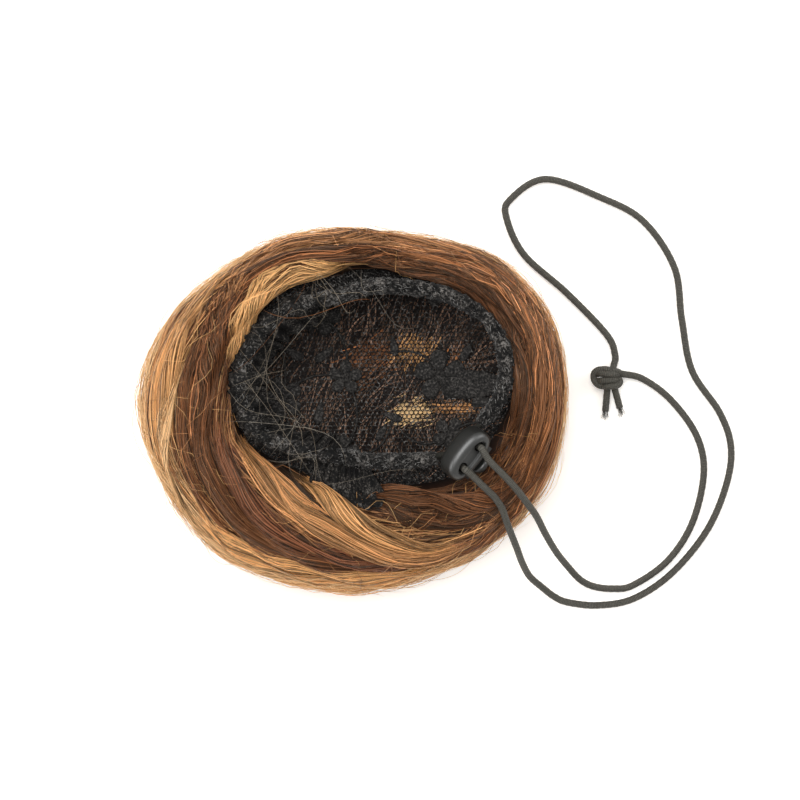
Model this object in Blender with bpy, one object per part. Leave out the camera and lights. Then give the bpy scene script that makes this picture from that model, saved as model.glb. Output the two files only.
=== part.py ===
"""Top knot hairpiece, a drawstring bun cover lying with its opening up.

A thick ring of swirled hair stands round a lace cap. A gathered casing runs
round the cap's rim and holds an elastic cord. The cord leaves through a
two-hole cord lock and its loose loop lies on the surface, tied in a knot.
Sizes are in millimetres and become metres when the meshes are made.
"""

import math

import bmesh
import bpy
import numpy as np
from mathutils import Matrix, Vector

MM = 0.001
GAP = 0.4

# Plan of the piece. The rim and the lip are radii from the middle of the
# opening, and the edge is the radius of the outer outline from the origin.
OPENING = np.array([7.2, 10.4])
RINGS = (
    # angle, rim, lip, edge
    (0.0, 45.5, 49.9, 75.6),
    (22.5, 45.9, 49.9, 77.2),
    (45.0, 40.3, 45.0, 75.0),
    (67.5, 34.9, 39.8, 66.3),
    (90.0, 32.6, 41.0, 64.2),
    (112.5, 31.7, 41.7, 66.4),
    (135.0, 36.6, 45.7, 68.3),
    (157.5, 41.5, 47.4, 73.9),
    (180.0, 44.7, 48.6, 75.6),
    (202.5, 42.3, 50.0, 71.9),
    (225.0, 33.1, 43.3, 69.8),
    (247.5, 27.7, 40.5, 65.2),
    (270.0, 27.2, 38.5, 64.2),
    (292.5, 29.2, 41.0, 64.5),
    (315.0, 35.0, 47.0, 67.9),
    (337.5, 39.6, 48.4, 73.0),
)
RIM, LIP, EDGE = 1, 2, 3

HAIR_COLUMNS = 84
CAP_COLUMNS = 42

# Over the top of the hair, from the lip of the opening to the widest line.
HAIR_OVER = (
    # share of the way from lip to edge, height
    (0.00, 42.0),
    (0.05, 44.4),
    (0.11, 46.0),
    (0.17, 47.0),
    (0.23, 47.4),
    (0.29, 47.4),
    (0.35, 47.2),
    (0.41, 46.7),
    (0.47, 45.9),
    (0.53, 44.9),
    (0.59, 43.6),
    (0.65, 42.0),
    (0.71, 40.0),
    (0.77, 37.6),
    (0.83, 34.6),
    (0.89, 31.0),
    (0.94, 27.2),
    (0.98, 23.0),
    (1.00, 18.6),
)
# Under the hair, from the widest line to the flat that it rests on.
HAIR_UNDER = (
    # share of the edge radius, height
    (0.980, 12.6),
    (0.905, 6.6),
    (0.760, 2.2),
    (0.560, 0.0),
)
LOCK_PITCH = 0.18
LOCK_RELIEF = 0.9

# Single locks that stand out of the swirl.
LOCKS = (
    # height, half width as a share, angle and share where each part of it runs
    (1.6, 0.075, ((104, -0.08), (130, 0.18), (153, 0.22), (184, 0.26), (204, 0.34))),
    (1.3, 0.070, ((146, 0.66), (172, 0.60), (192, 0.66), (209, 0.80), (252, 0.88))),
    (1.9, 0.085, ((202, -0.06), (225, 0.16), (240, 0.24), (266, 0.52), (294, 0.68), (330, 0.66))),
    (1.6, 0.070, ((234, -0.10), (262, 0.20), (282, 0.44), (308, 0.56))),
    (1.3, 0.065, ((262, -0.16), (289, 0.04), (307, 0.32), (341, 0.58))),
    (1.6, 0.080, ((60, 0.10), (90, 0.20), (120, 0.40), (161, 0.54))),
    (1.2, 0.060, ((-40, 0.30), (-12, 0.20), (15, 0.06), (56, -0.06))),
    (1.5, 0.075, ((-28, 0.74), (5, 0.46), (34, 0.28), (67, 0.20))),
)

# The cord lock and the two cords that leave it press the hair and lace down.
DIP = 4.6
DIP_ANGLE = 322.0
DIP_HALF_WIDTH = 26.0

# Outer face of the lace cap, from the rim to the middle of the crown.
CAP_OUTER = (
    # part of the rim radius, part of the lip radius, extra, height
    (1.00, 0.00, 0.0, 41.0),
    (0.50, 0.50, 0.2, 40.6),
    (0.00, 1.00, -1.4, 39.6),
    (0.00, 1.00, 1.6, 35.6),
    (0.00, 1.00, 3.0, 29.5),
    (0.00, 0.97, 1.8, 23.0),
    (0.00, 0.84, 0.6, 18.0),
    (0.00, 0.58, 0.0, 15.0),
    (0.00, 0.28, 0.0, 13.8),
)
CAP_CROWN = 13.6
CAP_WALL = 1.0

CASING_HEIGHT = 45.0
CASING_RADIUS = 3.1
CASING_RUFFLE = 0.45
CASING_PUCKERS = 30
CHANNEL_RADIUS = 1.75
CASING_START = -16.0
CASING_END = 305.0
CASING_RINGS = 72

CORD_RADIUS = 1.25
CORD_STEP = 7.5

# The cord lock stands on the lace with its back towards the opening.
LOCK_MIDDLE = Vector((39.2, -13.9, 48.5))
LOCK_LEAN = math.radians(50.0)
LOCK_LENGTH = 19.5
LOCK_BACK = 5.8
LOCK_FRONT = 5.0
LOCK_THICK = 9.0
HOLE_SPACING = 9.0
HOLE_RADIUS = 1.8
FACE_DEPTH = 3.7
SLOT_HALF = (7.0, 1.9)
SLOT_BOTTOM = 3.9
PLATE_HALF = (6.7, 1.6)
PLATE_BOTTOM = 2.6
WINDOW = (2.95, 6.05, -2.65, 1.55)
BUTTON_RADIUS = 3.9
BUTTON_UNDERSIDE = -6.3
BUTTON_TOP = -8.8

# Routes of the two loose cords, from the cord lock to the knot.
LONG_ROUTE = (
    # x, y, height
    (41.5, -21.6, 51.8),
    (45.4, -25.4, 50.6),
    (49.1, -29.0, 48.6),
    (51.7, -33.0, 45.8),
    (53.1, -36.7, 42.4),
    (54.9, -41.3, 37.0),
    (57.5, -47.4, 29.0),
    (59.9, -53.2, 19.0),
    (63.0, -58.6, 10.0),
    (67.6, -62.8, 4.4),
    (72.3, -66.5, 1.9),
    (77.1, -68.5, 1.3),
    (87.6, -69.6, 1.3),
    (100.5, -67.3, 1.3),
    (114.2, -58.3, 1.3),
    (126.8, -43.2, 1.3),
    (133.9, -26.9, 1.3),
    (135.8, -13.0, 1.3),
    (131.8, -0.5, 1.3),
    (121.8, 14.7, 1.3),
    (118.1, 33.2, 1.3),
    (115.4, 51.9, 1.3),
    (104.2, 68.5, 1.3),
    (88.9, 77.0, 1.3),
    (69.0, 83.6, 1.3),
    (56.4, 76.2, 1.3),
    (55.1, 69.6, 1.3),
    (61.4, 56.4, 1.3),
    (76.8, 42.6, 1.3),
    (91.0, 27.8, 1.3),
    (94.1, 20.4, 1.5),
    (93.5, 16.5, 2.6),
)
SHORT_ROUTE = (
    (47.1, -16.4, 52.4),
    (51.9, -21.2, 50.6),
    (56.4, -26.1, 48.4),
    (60.9, -31.9, 44.6),
    (63.8, -35.9, 40.2),
    (67.4, -42.4, 31.0),
    (71.9, -49.4, 19.0),
    (76.6, -55.1, 8.0),
    (81.4, -60.2, 3.0),
    (86.4, -62.8, 1.4),
    (93.3, -63.6, 1.3),
    (100.5, -62.4, 1.3),
    (112.8, -53.8, 1.3),
    (121.8, -40.1, 1.3),
    (126.0, -22.0, 1.3),
    (123.3, -8.4, 1.3),
    (114.1, 4.3, 1.3),
    (104.0, 11.8, 1.5),
    (96.0, 13.7, 2.9),
)
KNOT_MIDDLE = (90.9, 12.2, 3.5)
KNOT_HALF = (4.4, 3.9, 3.2)
TAILS = (
    # start, then the end where the fibres fray
    ((90.0, 11.0, 3.2), (90.2, 6.0, 2.2), (91.0, 0.2, 1.4)),
    ((92.6, 11.0, 3.2), (94.2, 6.0, 2.2), (95.8, 0.8, 1.4)),
)

COLOURS = {
    # red, green, blue, roughness
    "hair": (0.150, 0.072, 0.040, 0.45),
    "lace": (0.016, 0.015, 0.014, 0.80),
    "casing": (0.024, 0.026, 0.031, 0.85),
    "elastic": (0.070, 0.062, 0.052, 0.70),
    "cord_lock": (0.042, 0.041, 0.037, 0.35),
    "button": (0.034, 0.033, 0.030, 0.40),
}


def clear_scene():
    for old in list(bpy.data.objects):
        bpy.data.objects.remove(old, do_unlink=True)


def through(values, where):
    """A smooth curve through values that are one step apart, read at where."""
    low = int(math.floor(where))
    part = where - low
    before, here, after, later = (np.asarray(values[low + step]) for step in (0, 1, 2, 3))
    return 0.5 * (
        2 * here
        + (after - before) * part
        + (2 * before - 5 * here + 4 * after - later) * part**2
        + (3 * here - before - 3 * after + later) * part**3
    )


def ring(column, angle):
    """One radius of the plan at an angle in degrees."""
    values = [row[column] for row in RINGS]
    looped = values[-1:] + values + values[:3]
    return float(through(looped, (angle % 360.0) / 22.5))


def heading(angle):
    return np.array([math.cos(math.radians(angle)), math.sin(math.radians(angle))])


def dip(angle):
    away = (angle - DIP_ANGLE + 180.0) % 360.0 - 180.0
    return DIP * math.exp(-((away / DIP_HALF_WIDTH) ** 4))


def swirl_start(angle):
    """How far out the strands at this angle have run since they left the lip."""
    turn = (angle - 78.0) % 360.0
    out = min(turn, 122.0) * 0.0045 + max(0.0, min(turn - 122.0, 135.0)) * 0.0089
    return out - max(0.0, turn - 257.0) * 0.00473


def lock_height(angle, share):
    """Relief of the swirled locks at one place on the hair."""
    phase = (share - swirl_start(angle)) / LOCK_PITCH
    height = LOCK_RELIEF * math.cos(2 * math.pi * phase)
    for rise, half_width, route in LOCKS:
        first = route[0][0]
        last = route[-1][0]
        turn = first + (angle - first) % 360.0
        if turn > last:
            continue
        middle = np.interp(turn, [at[0] for at in route], [at[1] for at in route])
        ends = min(1.0, (turn - first) / 14.0, (last - turn) / 14.0)
        height += rise * ends * math.exp(-(((share - middle) / half_width) ** 2))
    return height


def hair_over(angle, share, height):
    """A point on the upper side of the hair before its locks are raised."""
    inside = OPENING + ring(LIP, angle) * heading(angle)
    outside = ring(EDGE, angle) * heading(angle)
    flat = inside * (1 - share) + outside * share
    pressed = dip(angle) * max(0.0, 1 - (share / 0.85) ** 2)
    return Vector((flat[0], flat[1], height - pressed))


def cap_profile(angle):
    """Radius and height down the outer face of the cap, at one angle."""
    rim = ring(RIM, angle)
    lip = ring(LIP, angle)
    rows = []
    for part_rim, part_lip, extra, height in CAP_OUTER:
        near_top = max(0.0, (height - 26.0) / 15.0)
        drop = dip(angle) * min(1.0, near_top)
        rows.append((part_rim * rim + part_lip * lip + extra, height - drop))
    return rows


def beside(profile, distance):
    """The same profile moved sideways: out of the cap if distance is above zero."""
    moved = []
    for place, (radius, height) in enumerate(profile):
        ahead = profile[min(place + 1, len(profile) - 1)]
        behind = profile[max(place - 1, 0)]
        run = Vector((ahead[0] - behind[0], ahead[1] - behind[1])).normalized()
        moved.append((radius - run.y * distance, height + run.x * distance))
    return moved


def round_opening(angle, radius, height):
    flat = OPENING + radius * heading(angle)
    return Vector((flat[0], flat[1], height))


def new_object(name, points, faces, colour, smooth=True):
    mesh = bpy.data.meshes.new(name)
    mesh.from_pydata([Vector(point) * MM for point in points], [], faces)
    mesh.validate()
    if smooth:
        mesh.shade_smooth()
    made = bpy.data.objects.new(name, mesh)
    bpy.context.scene.collection.objects.link(made)
    paint(made, colour)
    return made


def paint(made, colour):
    red, green, blue, rough = COLOURS[colour]
    material = bpy.data.materials.get(colour) or bpy.data.materials.new(colour)
    material.use_nodes = True
    shader = material.node_tree.nodes["Principled BSDF"]
    shader.inputs["Base Color"].default_value = (red, green, blue, 1.0)
    shader.inputs["Roughness"].default_value = rough
    shader.inputs["Metallic"].default_value = 0.0
    made.data.materials.append(material)


def skin(rows, start=None, end=None):
    """Faces round rows of points. Each end is closed with a fan to a point."""
    points = [point for row in rows for point in row]
    around = len(rows[0])
    faces = []
    for low in range(len(rows) - 1):
        for side in range(around):
            after = (side + 1) % around
            faces.append(
                (
                    low * around + side,
                    low * around + after,
                    (low + 1) * around + after,
                    (low + 1) * around + side,
                )
            )
    if start is not None:
        points.append(start)
        tip = len(points) - 1
        faces += [((side + 1) % around, side, tip) for side in range(around)]
    if end is not None:
        points.append(end)
        tip = len(points) - 1
        last = (len(rows) - 1) * around
        faces += [(last + side, last + (side + 1) % around, tip) for side in range(around)]
    return points, faces


def face_outwards(made):
    work = bmesh.new()
    work.from_mesh(made.data)
    bmesh.ops.recalc_face_normals(work, faces=work.faces)
    work.to_mesh(made.data)
    work.free()
    return made


def hair_bun():
    """One hollow ring of hair with a closed bottom under the lace cap."""
    angles = [360.0 * side / HAIR_COLUMNS for side in range(HAIR_COLUMNS)]
    inner = {angle: beside(cap_profile(angle), GAP) for angle in angles}
    rows = []
    for place in (8, 7, 6, 5, 4, 3):
        rows.append([round_opening(angle, *inner[angle][place]) for angle in angles])
    for step, (share, height) in enumerate(HAIR_OVER):
        row = []
        for angle in angles:
            point = hair_over(angle, share, height)
            back = HAIR_OVER[max(step - 1, 0)]
            front = HAIR_OVER[min(step + 1, len(HAIR_OVER) - 1)]
            run = hair_over(angle, *front) - hair_over(angle, *back)
            side = Vector((*heading(angle + 90.0), 0.0))
            out = side.cross(run).normalized()
            fade = min(1.0, share / 0.12) * (1.0 - 0.5 * share**6)
            row.append(point + out * lock_height(angle, share) * fade)
        rows.append(row)
    for share, height in HAIR_UNDER:
        rows.append([Vector((*(share * ring(EDGE, a) * heading(a)), height)) for a in angles])
    points, faces = skin(rows, start=Vector((*OPENING, CAP_CROWN - GAP)), end=Vector((0, 0, 0)))
    return face_outwards(new_object("hair_bun", points, faces, "hair"))


def lace_cap():
    """The cap: a thin shell, open at its rim, that lines the hair."""
    angles = [360.0 * side / CAP_COLUMNS for side in range(CAP_COLUMNS)]
    outer = {angle: cap_profile(angle) for angle in angles}
    inner = {angle: beside(outer[angle], -CAP_WALL) for angle in angles}
    count = len(CAP_OUTER)
    rows = [
        [round_opening(angle, *outer[angle][place]) for angle in angles]
        for place in range(count - 1, -1, -1)
    ]
    rows += [[round_opening(angle, *inner[angle][place]) for angle in angles] for place in range(count)]
    crown = Vector((*OPENING, CAP_CROWN))
    points, faces = skin(rows, start=crown, end=crown + Vector((0, 0, CAP_WALL)))
    return face_outwards(new_object("lace_cap", points, faces, "lace"))


def casing_line(angle):
    return round_opening(angle, ring(RIM, angle), CASING_HEIGHT)


def casing_ring(angle, radius, sides, puckered):
    """Points round the casing at one angle of the rim."""
    middle = casing_line(angle)
    ahead = (casing_line(angle + 1.0) - casing_line(angle - 1.0)).normalized()
    across = ahead.cross(Vector((0, 0, 1))).normalized()
    end = min(1.0, (angle - CASING_START) / 8.0, (CASING_END - angle) / 8.0)
    row = []
    for side in range(sides):
        turn = 2 * math.pi * side / sides
        reach = radius
        if puckered:
            wave = math.sin(math.radians(angle) * CASING_PUCKERS + 1.5 * math.sin(turn))
            reach = radius + CASING_RUFFLE * wave * end - 0.45 * (1 - end)
        row.append(middle + across * math.cos(turn) * reach + Vector((0, 0, math.sin(turn) * reach)))
    return row


def rim_casing():
    """The gathered tube of cloth round the rim, open at both of its ends."""
    steps = [CASING_START + (CASING_END - CASING_START) * k / CASING_RINGS for k in range(CASING_RINGS + 1)]
    outside = [casing_ring(angle, CASING_RADIUS, 8, True) for angle in steps]
    inside = [casing_ring(angle, CHANNEL_RADIUS, 8, False) for angle in steps[::-2]]
    rows = outside + inside
    points, faces = skin(rows)
    around = 8
    last = (len(rows) - 1) * around
    for side in range(around):
        after = (side + 1) % around
        faces.append((last + side, last + after, after, side))
    return face_outwards(new_object("rim_casing", points, faces, "casing"))


def smooth_path(route, step):
    """Points an even distance apart along a smooth curve through the route."""
    ends = [2 * Vector(route[0]) - Vector(route[1])]
    ends += [Vector(point) for point in route]
    ends.append(2 * Vector(route[-1]) - Vector(route[-2]))
    fine = [Vector(through(ends, k / 40.0)) for k in range(40 * (len(route) - 1))]
    fine.append(Vector(route[-1]))
    run = [0.0]
    for here, after in zip(fine, fine[1:]):
        run.append(run[-1] + (after - here).length)
    count = max(2, round(run[-1] / step))
    wanted = [run[-1] * k / count for k in range(count + 1)]
    return [Vector([np.interp(at, run, [p[axis] for p in fine]) for axis in range(3)]) for at in wanted]


def cord(name, route, step=CORD_STEP, straight=0.0):
    """A round cord along a smooth path. It can leave its hole along the hole's axis."""
    path = smooth_path(route, step)
    if straight:
        path.insert(1, path[0] + lock_axes()[2] * straight)
    curve = bpy.data.curves.new(name, "CURVE")
    curve.dimensions = "3D"
    curve.bevel_depth = CORD_RADIUS * MM
    curve.bevel_resolution = 2
    curve.use_fill_caps = True
    spline = curve.splines.new("POLY")
    spline.points.add(len(path) - 1)
    for point, place in zip(spline.points, path):
        point.co = (place.x * MM, place.y * MM, place.z * MM, 1.0)
    made = bpy.data.objects.new(name, curve)
    bpy.context.scene.collection.objects.link(made)
    paint(made, "elastic")
    return made


def lock_axes():
    """Across the two holes, towards the back of the lock, and along the holes."""
    across = Vector((0.61, 0.79, 0.0)).normalized()
    away = Vector((0.79, -0.61, 0.0)).normalized()
    button = away * math.sin(LOCK_LEAN) - Vector((0, 0, 1)) * math.cos(LOCK_LEAN)
    along = away * math.cos(LOCK_LEAN) + Vector((0, 0, 1)) * math.sin(LOCK_LEAN)
    return across, -button, along


def lock_frame():
    across, back, along = lock_axes()
    turned = Matrix((across, back, along)).transposed().to_4x4()
    return Matrix.Translation(LOCK_MIDDLE * MM) @ turned


def hole_point(side, depth):
    across, _, along = lock_axes()
    return LOCK_MIDDLE + across * side * HOLE_SPACING / 2 + along * depth


def bean_row(scale, depth, shift=0.0, sides=28):
    """One section of the cord lock: flatter on the button's side."""
    row = []
    for side in range(sides):
        turn = 2 * math.pi * side / sides
        across = math.copysign(abs(math.cos(turn)) ** (2 / 2.4), math.cos(turn))
        up = math.copysign(abs(math.sin(turn)) ** (2 / 2.4), math.sin(turn))
        tall = LOCK_BACK if up > 0 else LOCK_FRONT
        inset = (1 - scale) * 9.75
        row.append(Vector((across * (LOCK_LENGTH / 2 - inset), up * (tall - inset) + shift, depth)))
    return row


def cutter(name, points, faces):
    made = new_object(name, points, faces, "button", smooth=False)
    face_outwards(made)
    made.matrix_world = lock_frame()
    made.hide_render = True
    made.display_type = "WIRE"
    return made


def box_points(low, high):
    corners = [Vector((x, y, z)) for x in (low[0], high[0]) for y in (low[1], high[1]) for z in (low[2], high[2])]
    faces = [(0, 1, 3, 2), (4, 6, 7, 5), (0, 4, 5, 1), (2, 3, 7, 6), (0, 2, 6, 4), (1, 5, 7, 3)]
    return corners, faces


def round_points(middle, radius, half, sides, along):
    """A closed cylinder whose axis lies along y or z."""
    rows = []
    for depth in (-half, half):
        row = []
        for side in range(sides):
            turn = 2 * math.pi * (side + 0.5) / sides
            first = math.cos(turn) * radius
            second = math.sin(turn) * radius
            offset = Vector((first, second, depth)) if along == "z" else Vector((first, depth, second))
            row.append(Vector(middle) + offset)
        rows.append(row)
    tip = Vector((0, 0, half)) if along == "z" else Vector((0, half, 0))
    return skin(rows, start=Vector(middle) - tip, end=Vector(middle) + tip)


def cut(made, tool, name):
    modifier = made.modifiers.new(name, "BOOLEAN")
    modifier.operation = "DIFFERENCE"
    modifier.solver = "EXACT"
    modifier.object = tool


def toggle_body():
    """The bean of the cord lock: two cord holes and a slot for the plunger."""
    half = LOCK_THICK / 2
    rows = [
        bean_row(0.74, -half),
        bean_row(0.90, -half + 0.5),
        bean_row(1.00, -half + 2.2),
        bean_row(1.00, half - 2.4),
        bean_row(0.93, half - 0.6),
        bean_row(0.86, half),
        bean_row(0.79, half - 0.3, -0.5),
        bean_row(0.76, FACE_DEPTH, -0.6),
    ]
    points, faces = skin(rows, start=Vector((0, 0.3, -half)), end=Vector((0, -0.3, FACE_DEPTH)))
    made = face_outwards(new_object("toggle_body", points, faces, "cord_lock"))
    made.matrix_world = lock_frame()
    slot = box_points((-SLOT_HALF[0], -9.0, -SLOT_HALF[1]), (SLOT_HALF[0], SLOT_BOTTOM, SLOT_HALF[1]))
    cut(made, cutter("plunger_slot", *slot), "slot")
    for label, side in (("left", -1), ("right", 1)):
        middle = (side * HOLE_SPACING / 2, 0, 0)
        hole = round_points(middle, HOLE_RADIUS, 8.0, 14, "z")
        cut(made, cutter("cord_hole_" + label, *hole), "hole_" + label)
    return made


def toggle_button():
    """The sprung plunger: a plate with two windows for the cords, and a head."""
    plate = box_points(
        (-PLATE_HALF[0], BUTTON_UNDERSIDE - 0.6, -PLATE_HALF[1]),
        (PLATE_HALF[0], PLATE_BOTTOM, PLATE_HALF[1]),
    )
    made = face_outwards(new_object("toggle_button", *plate, "button"))
    made.matrix_world = lock_frame()
    sides = 24
    rows = []
    for radius, height in (
        (3.1, BUTTON_TOP),
        (3.7, BUTTON_TOP + 0.4),
        (BUTTON_RADIUS, BUTTON_TOP + 1.0),
        (BUTTON_RADIUS, BUTTON_UNDERSIDE),
    ):
        turns = [2 * math.pi * (side + 0.5) / sides for side in range(sides)]
        rows.append([Vector((math.cos(t) * radius, height, math.sin(t) * radius)) for t in turns])
    head = skin(rows, start=Vector((0, BUTTON_TOP - 0.2, 0)), end=Vector((0, BUTTON_UNDERSIDE, 0)))
    joined = made.modifiers.new("head", "BOOLEAN")
    joined.operation = "UNION"
    joined.solver = "EXACT"
    joined.object = cutter("button_head", *head)
    for label, side in (("left", -1), ("right", 1)):
        near, far, low, high = WINDOW
        window = box_points(
            (min(side * near, side * far), low, -4.0),
            (max(side * near, side * far), high, 4.0),
        )
        cut(made, cutter("window_" + label, *window), "window_" + label)
    return made


def channel_cord():
    """The elastic inside the casing, and on through both holes of the lock."""
    start = [hole_point(1, FACE_DEPTH), hole_point(1, 0), hole_point(1, -5.2), hole_point(1, -7.6)]
    start.append(Vector((40.6, -7.2, 42.6)))
    start.append(Vector((44.2, -4.6, 43.9)))
    casing = [casing_line(CASING_START + 2 + (CASING_END - CASING_START - 4) * k / 22) for k in range(23)]
    finish = [Vector((29.6, -14.9, 43.9)), hole_point(-1, -7.6), hole_point(-1, -5.2)]
    finish += [hole_point(-1, 0), hole_point(-1, FACE_DEPTH)]
    return cord("channel_cord", start + casing + finish, 5.6)


def knot():
    """The knot that ties the two cords, with their two short ends."""
    middle = Vector(KNOT_MIDDLE)
    rows = []
    for band in range(1, 8):
        lift = math.pi * band / 8 - math.pi / 2
        row = []
        for side in range(16):
            turn = 2 * math.pi * side / 16
            swell = 1 + 0.07 * math.cos(3 * turn + 4 * lift)
            row.append(
                middle
                + Vector(
                    (
                        KNOT_HALF[0] * math.cos(turn) * math.cos(lift) * swell,
                        KNOT_HALF[1] * math.sin(turn) * math.cos(lift) * swell,
                        KNOT_HALF[2] * math.sin(lift),
                    )
                )
            )
        rows.append(row)
    up = Vector((0, 0, KNOT_HALF[2]))
    points, faces = skin(rows, start=middle - up, end=middle + up)
    made = face_outwards(new_object("cord_knot", points, faces, "elastic"))
    for label, route in zip(("left", "right"), TAILS):
        tail = tube("tail_" + label, route)
        joined = made.modifiers.new("tail_" + label, "BOOLEAN")
        joined.operation = "UNION"
        joined.solver = "EXACT"
        joined.object = tail
    return made


def tube(name, route):
    """A short round end of cord as a mesh, for joining to the knot."""
    path = smooth_path(route, 3.2)
    rows = []
    for place, point in enumerate(path):
        ahead = path[min(place + 1, len(path) - 1)] - path[max(place - 1, 0)]
        across = ahead.cross(Vector((0, 0, 1))).normalized()
        up = across.cross(ahead).normalized()
        turns = [2 * math.pi * side / 8 for side in range(8)]
        rows.append([point + (across * math.cos(t) + up * math.sin(t)) * CORD_RADIUS for t in turns])
    made = new_object(name, *skin(rows, start=path[0], end=path[-1]), "elastic")
    face_outwards(made)
    made.hide_render = True
    made.display_type = "WIRE"
    return made


def build():
    clear_scene()
    hair_bun()
    lace_cap()
    rim_casing()
    channel_cord()
    toggle_body()
    toggle_button()
    cord("cord_long_leg", (hole_point(-1, FACE_DEPTH + 0.4),) + LONG_ROUTE, straight=1.2)
    cord("cord_short_leg", (hole_point(1, FACE_DEPTH + 0.4),) + SHORT_ROUTE, straight=1.2)
    knot()


build()
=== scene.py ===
# %% [markdown]
# # A top knot hairpiece, lying with its opening up
# This lesson dresses a finished frame as a drawstring top knot: a ring of
# swirled hair round a black lace cap, a gathered casing with elastic cord in
# its rim, a two-hole cord lock, and the loose loop of cord with its knot. The
# frame gives the sizes and the places. Everything here follows it in
# millimetres and turns into metres when a mesh is made.

import math

import bmesh
import bpy
import numpy as np
from mathutils import Matrix, Vector


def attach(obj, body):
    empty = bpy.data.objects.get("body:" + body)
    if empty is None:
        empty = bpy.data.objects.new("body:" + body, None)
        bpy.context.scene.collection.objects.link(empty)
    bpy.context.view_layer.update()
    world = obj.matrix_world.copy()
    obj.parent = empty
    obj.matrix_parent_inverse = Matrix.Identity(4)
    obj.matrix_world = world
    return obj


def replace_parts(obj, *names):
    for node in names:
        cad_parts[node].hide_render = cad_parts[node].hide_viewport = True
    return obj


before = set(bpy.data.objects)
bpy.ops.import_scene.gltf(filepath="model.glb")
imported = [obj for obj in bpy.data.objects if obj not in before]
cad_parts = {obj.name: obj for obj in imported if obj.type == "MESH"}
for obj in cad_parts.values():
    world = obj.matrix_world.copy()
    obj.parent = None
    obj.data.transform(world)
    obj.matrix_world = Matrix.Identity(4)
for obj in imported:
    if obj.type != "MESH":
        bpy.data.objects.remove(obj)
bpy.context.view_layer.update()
HAIRPIECE = "hairpiece"
BUTTON = "lock_button"
MM = 0.001
dice = np.random.default_rng(23)

# %% [markdown]
# ## Camera
# The piece is looked at from straight above, from about an arm's length. A
# long lens keeps the ring of hair from leaning outwards, as it would if the
# camera came close. The camera stands over the middle of the picture, a little
# to the right of the hair, because the loop of cord spreads that way.

# %% The camera over the table
CAMERA_HEIGHT = 0.900
LENS = 112.5
SENSOR = 36.0
eye = bpy.data.cameras.new("camera_above")
eye.lens = LENS
eye.sensor_width = SENSOR
eye.clip_start = 0.05
eye.clip_end = 10.0
camera = bpy.data.objects.new("camera_above", eye)
camera.location = (0.0168, 0.0042, CAMERA_HEIGHT)
bpy.context.scene.collection.objects.link(camera)
bpy.context.scene.camera = camera
print("millimetres across the table:", CAMERA_HEIGHT * SENSOR / LENS * 1000)

# %% [markdown]
# ## A helper for meshes made of many small things
# Hair, net and fuzz are thousands of equal small shapes. Adding them one by
# one with operators would take hours, so they are worked out as arrays of
# points and joined as one mesh. The helper takes points and faces, and can
# store a colour on each point.

# %% Arrays to meshes
def mesh_piece(name, points, faces, tint=None, uv=None):
    """A mesh object from arrays. faces is a list of arrays, each with rows of one length."""
    faces = [np.asarray(group, np.int32) for group in faces if len(group)]
    mesh = bpy.data.meshes.new(name)
    mesh.vertices.add(len(points))
    mesh.vertices.foreach_set("co", (np.asarray(points, np.float64) * MM).ravel())
    corners = np.concatenate([group.ravel() for group in faces])
    sizes = np.concatenate([np.full(len(group), group.shape[1]) for group in faces])
    mesh.loops.add(len(corners))
    mesh.loops.foreach_set("vertex_index", corners)
    mesh.polygons.add(len(sizes))
    starts = np.concatenate([[0], np.cumsum(sizes)[:-1]])
    mesh.polygons.foreach_set("loop_start", starts.astype(np.int32))
    mesh.update(calc_edges=True)
    mesh.validate()
    mesh.shade_smooth()
    if tint is not None:
        layer = mesh.attributes.new("tint", "FLOAT_COLOR", "POINT")
        rgba = np.concatenate([np.asarray(tint), np.ones((len(tint), 1))], 1)
        layer.data.foreach_set("color", rgba.astype(np.float32).ravel())
    if uv is not None:
        layer = mesh.uv_layers.new(name="along")
        layer.data.foreach_set("uv", np.asarray(uv, np.float32)[corners].ravel())
    piece = bpy.data.objects.new(name, mesh)
    bpy.context.scene.collection.objects.link(piece)
    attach(piece, HAIRPIECE)
    return piece


def unit(vectors):
    return vectors / np.maximum(np.linalg.norm(vectors, axis=-1, keepdims=True), 1e-9)


def grid_walls(rows, columns, rows_close=False, columns_close=False):
    """Four-sided faces of a grid of points, which may close on itself either way."""
    row = np.arange(rows if rows_close else rows - 1)[:, None]
    column = np.arange(columns if columns_close else columns - 1)[None]
    next_row = (row + 1) % rows
    next_column = (column + 1) % columns
    corners = (row, column), (row, next_column), (next_row, next_column), (next_row, column)
    return np.stack([down * columns + over for down, over in corners], -1).reshape(-1, 4)


def spokes(side, upright, turn):
    """Directions round a path, from its sideways and upright directions."""
    return side[..., None, :] * np.cos(turn)[:, None] + upright[..., None, :] * np.sin(turn)[:, None]


def tubes(paths, radius, up, sides=3):
    """Closed tubes along many paths at once: paths is (tube, point, xyz)."""
    count, steps, _ = paths.shape
    ahead = unit(np.gradient(paths, axis=1))
    across = unit(np.cross(ahead, up))
    over = np.cross(across, ahead)
    turn = 2 * np.pi * (np.arange(sides) + 0.25) / sides
    points = (paths[:, :, None] + radius[..., None, None] * spokes(across, over, turn)).reshape(-1, 3)
    base = (np.arange(count) * steps * sides)[:, None]
    one_tube = grid_walls(steps, sides, columns_close=True)
    walls = (one_tube[None] + base[..., None]).reshape(-1, 4)
    first = base + np.arange(sides)[::-1]
    last = base + (steps - 1) * sides + np.arange(sides)
    return points, [walls, np.concatenate([first, last])]


def curve_through(before, here, after, later, part):
    """A smooth curve's value a part of the way from here to after, with one more value each side."""
    return 0.5 * (
        2 * here
        + (after - before) * part
        + (2 * before - 5 * here + 4 * after - later) * part**2
        + (3 * here - before - 3 * after + later) * part**3
    )


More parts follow.
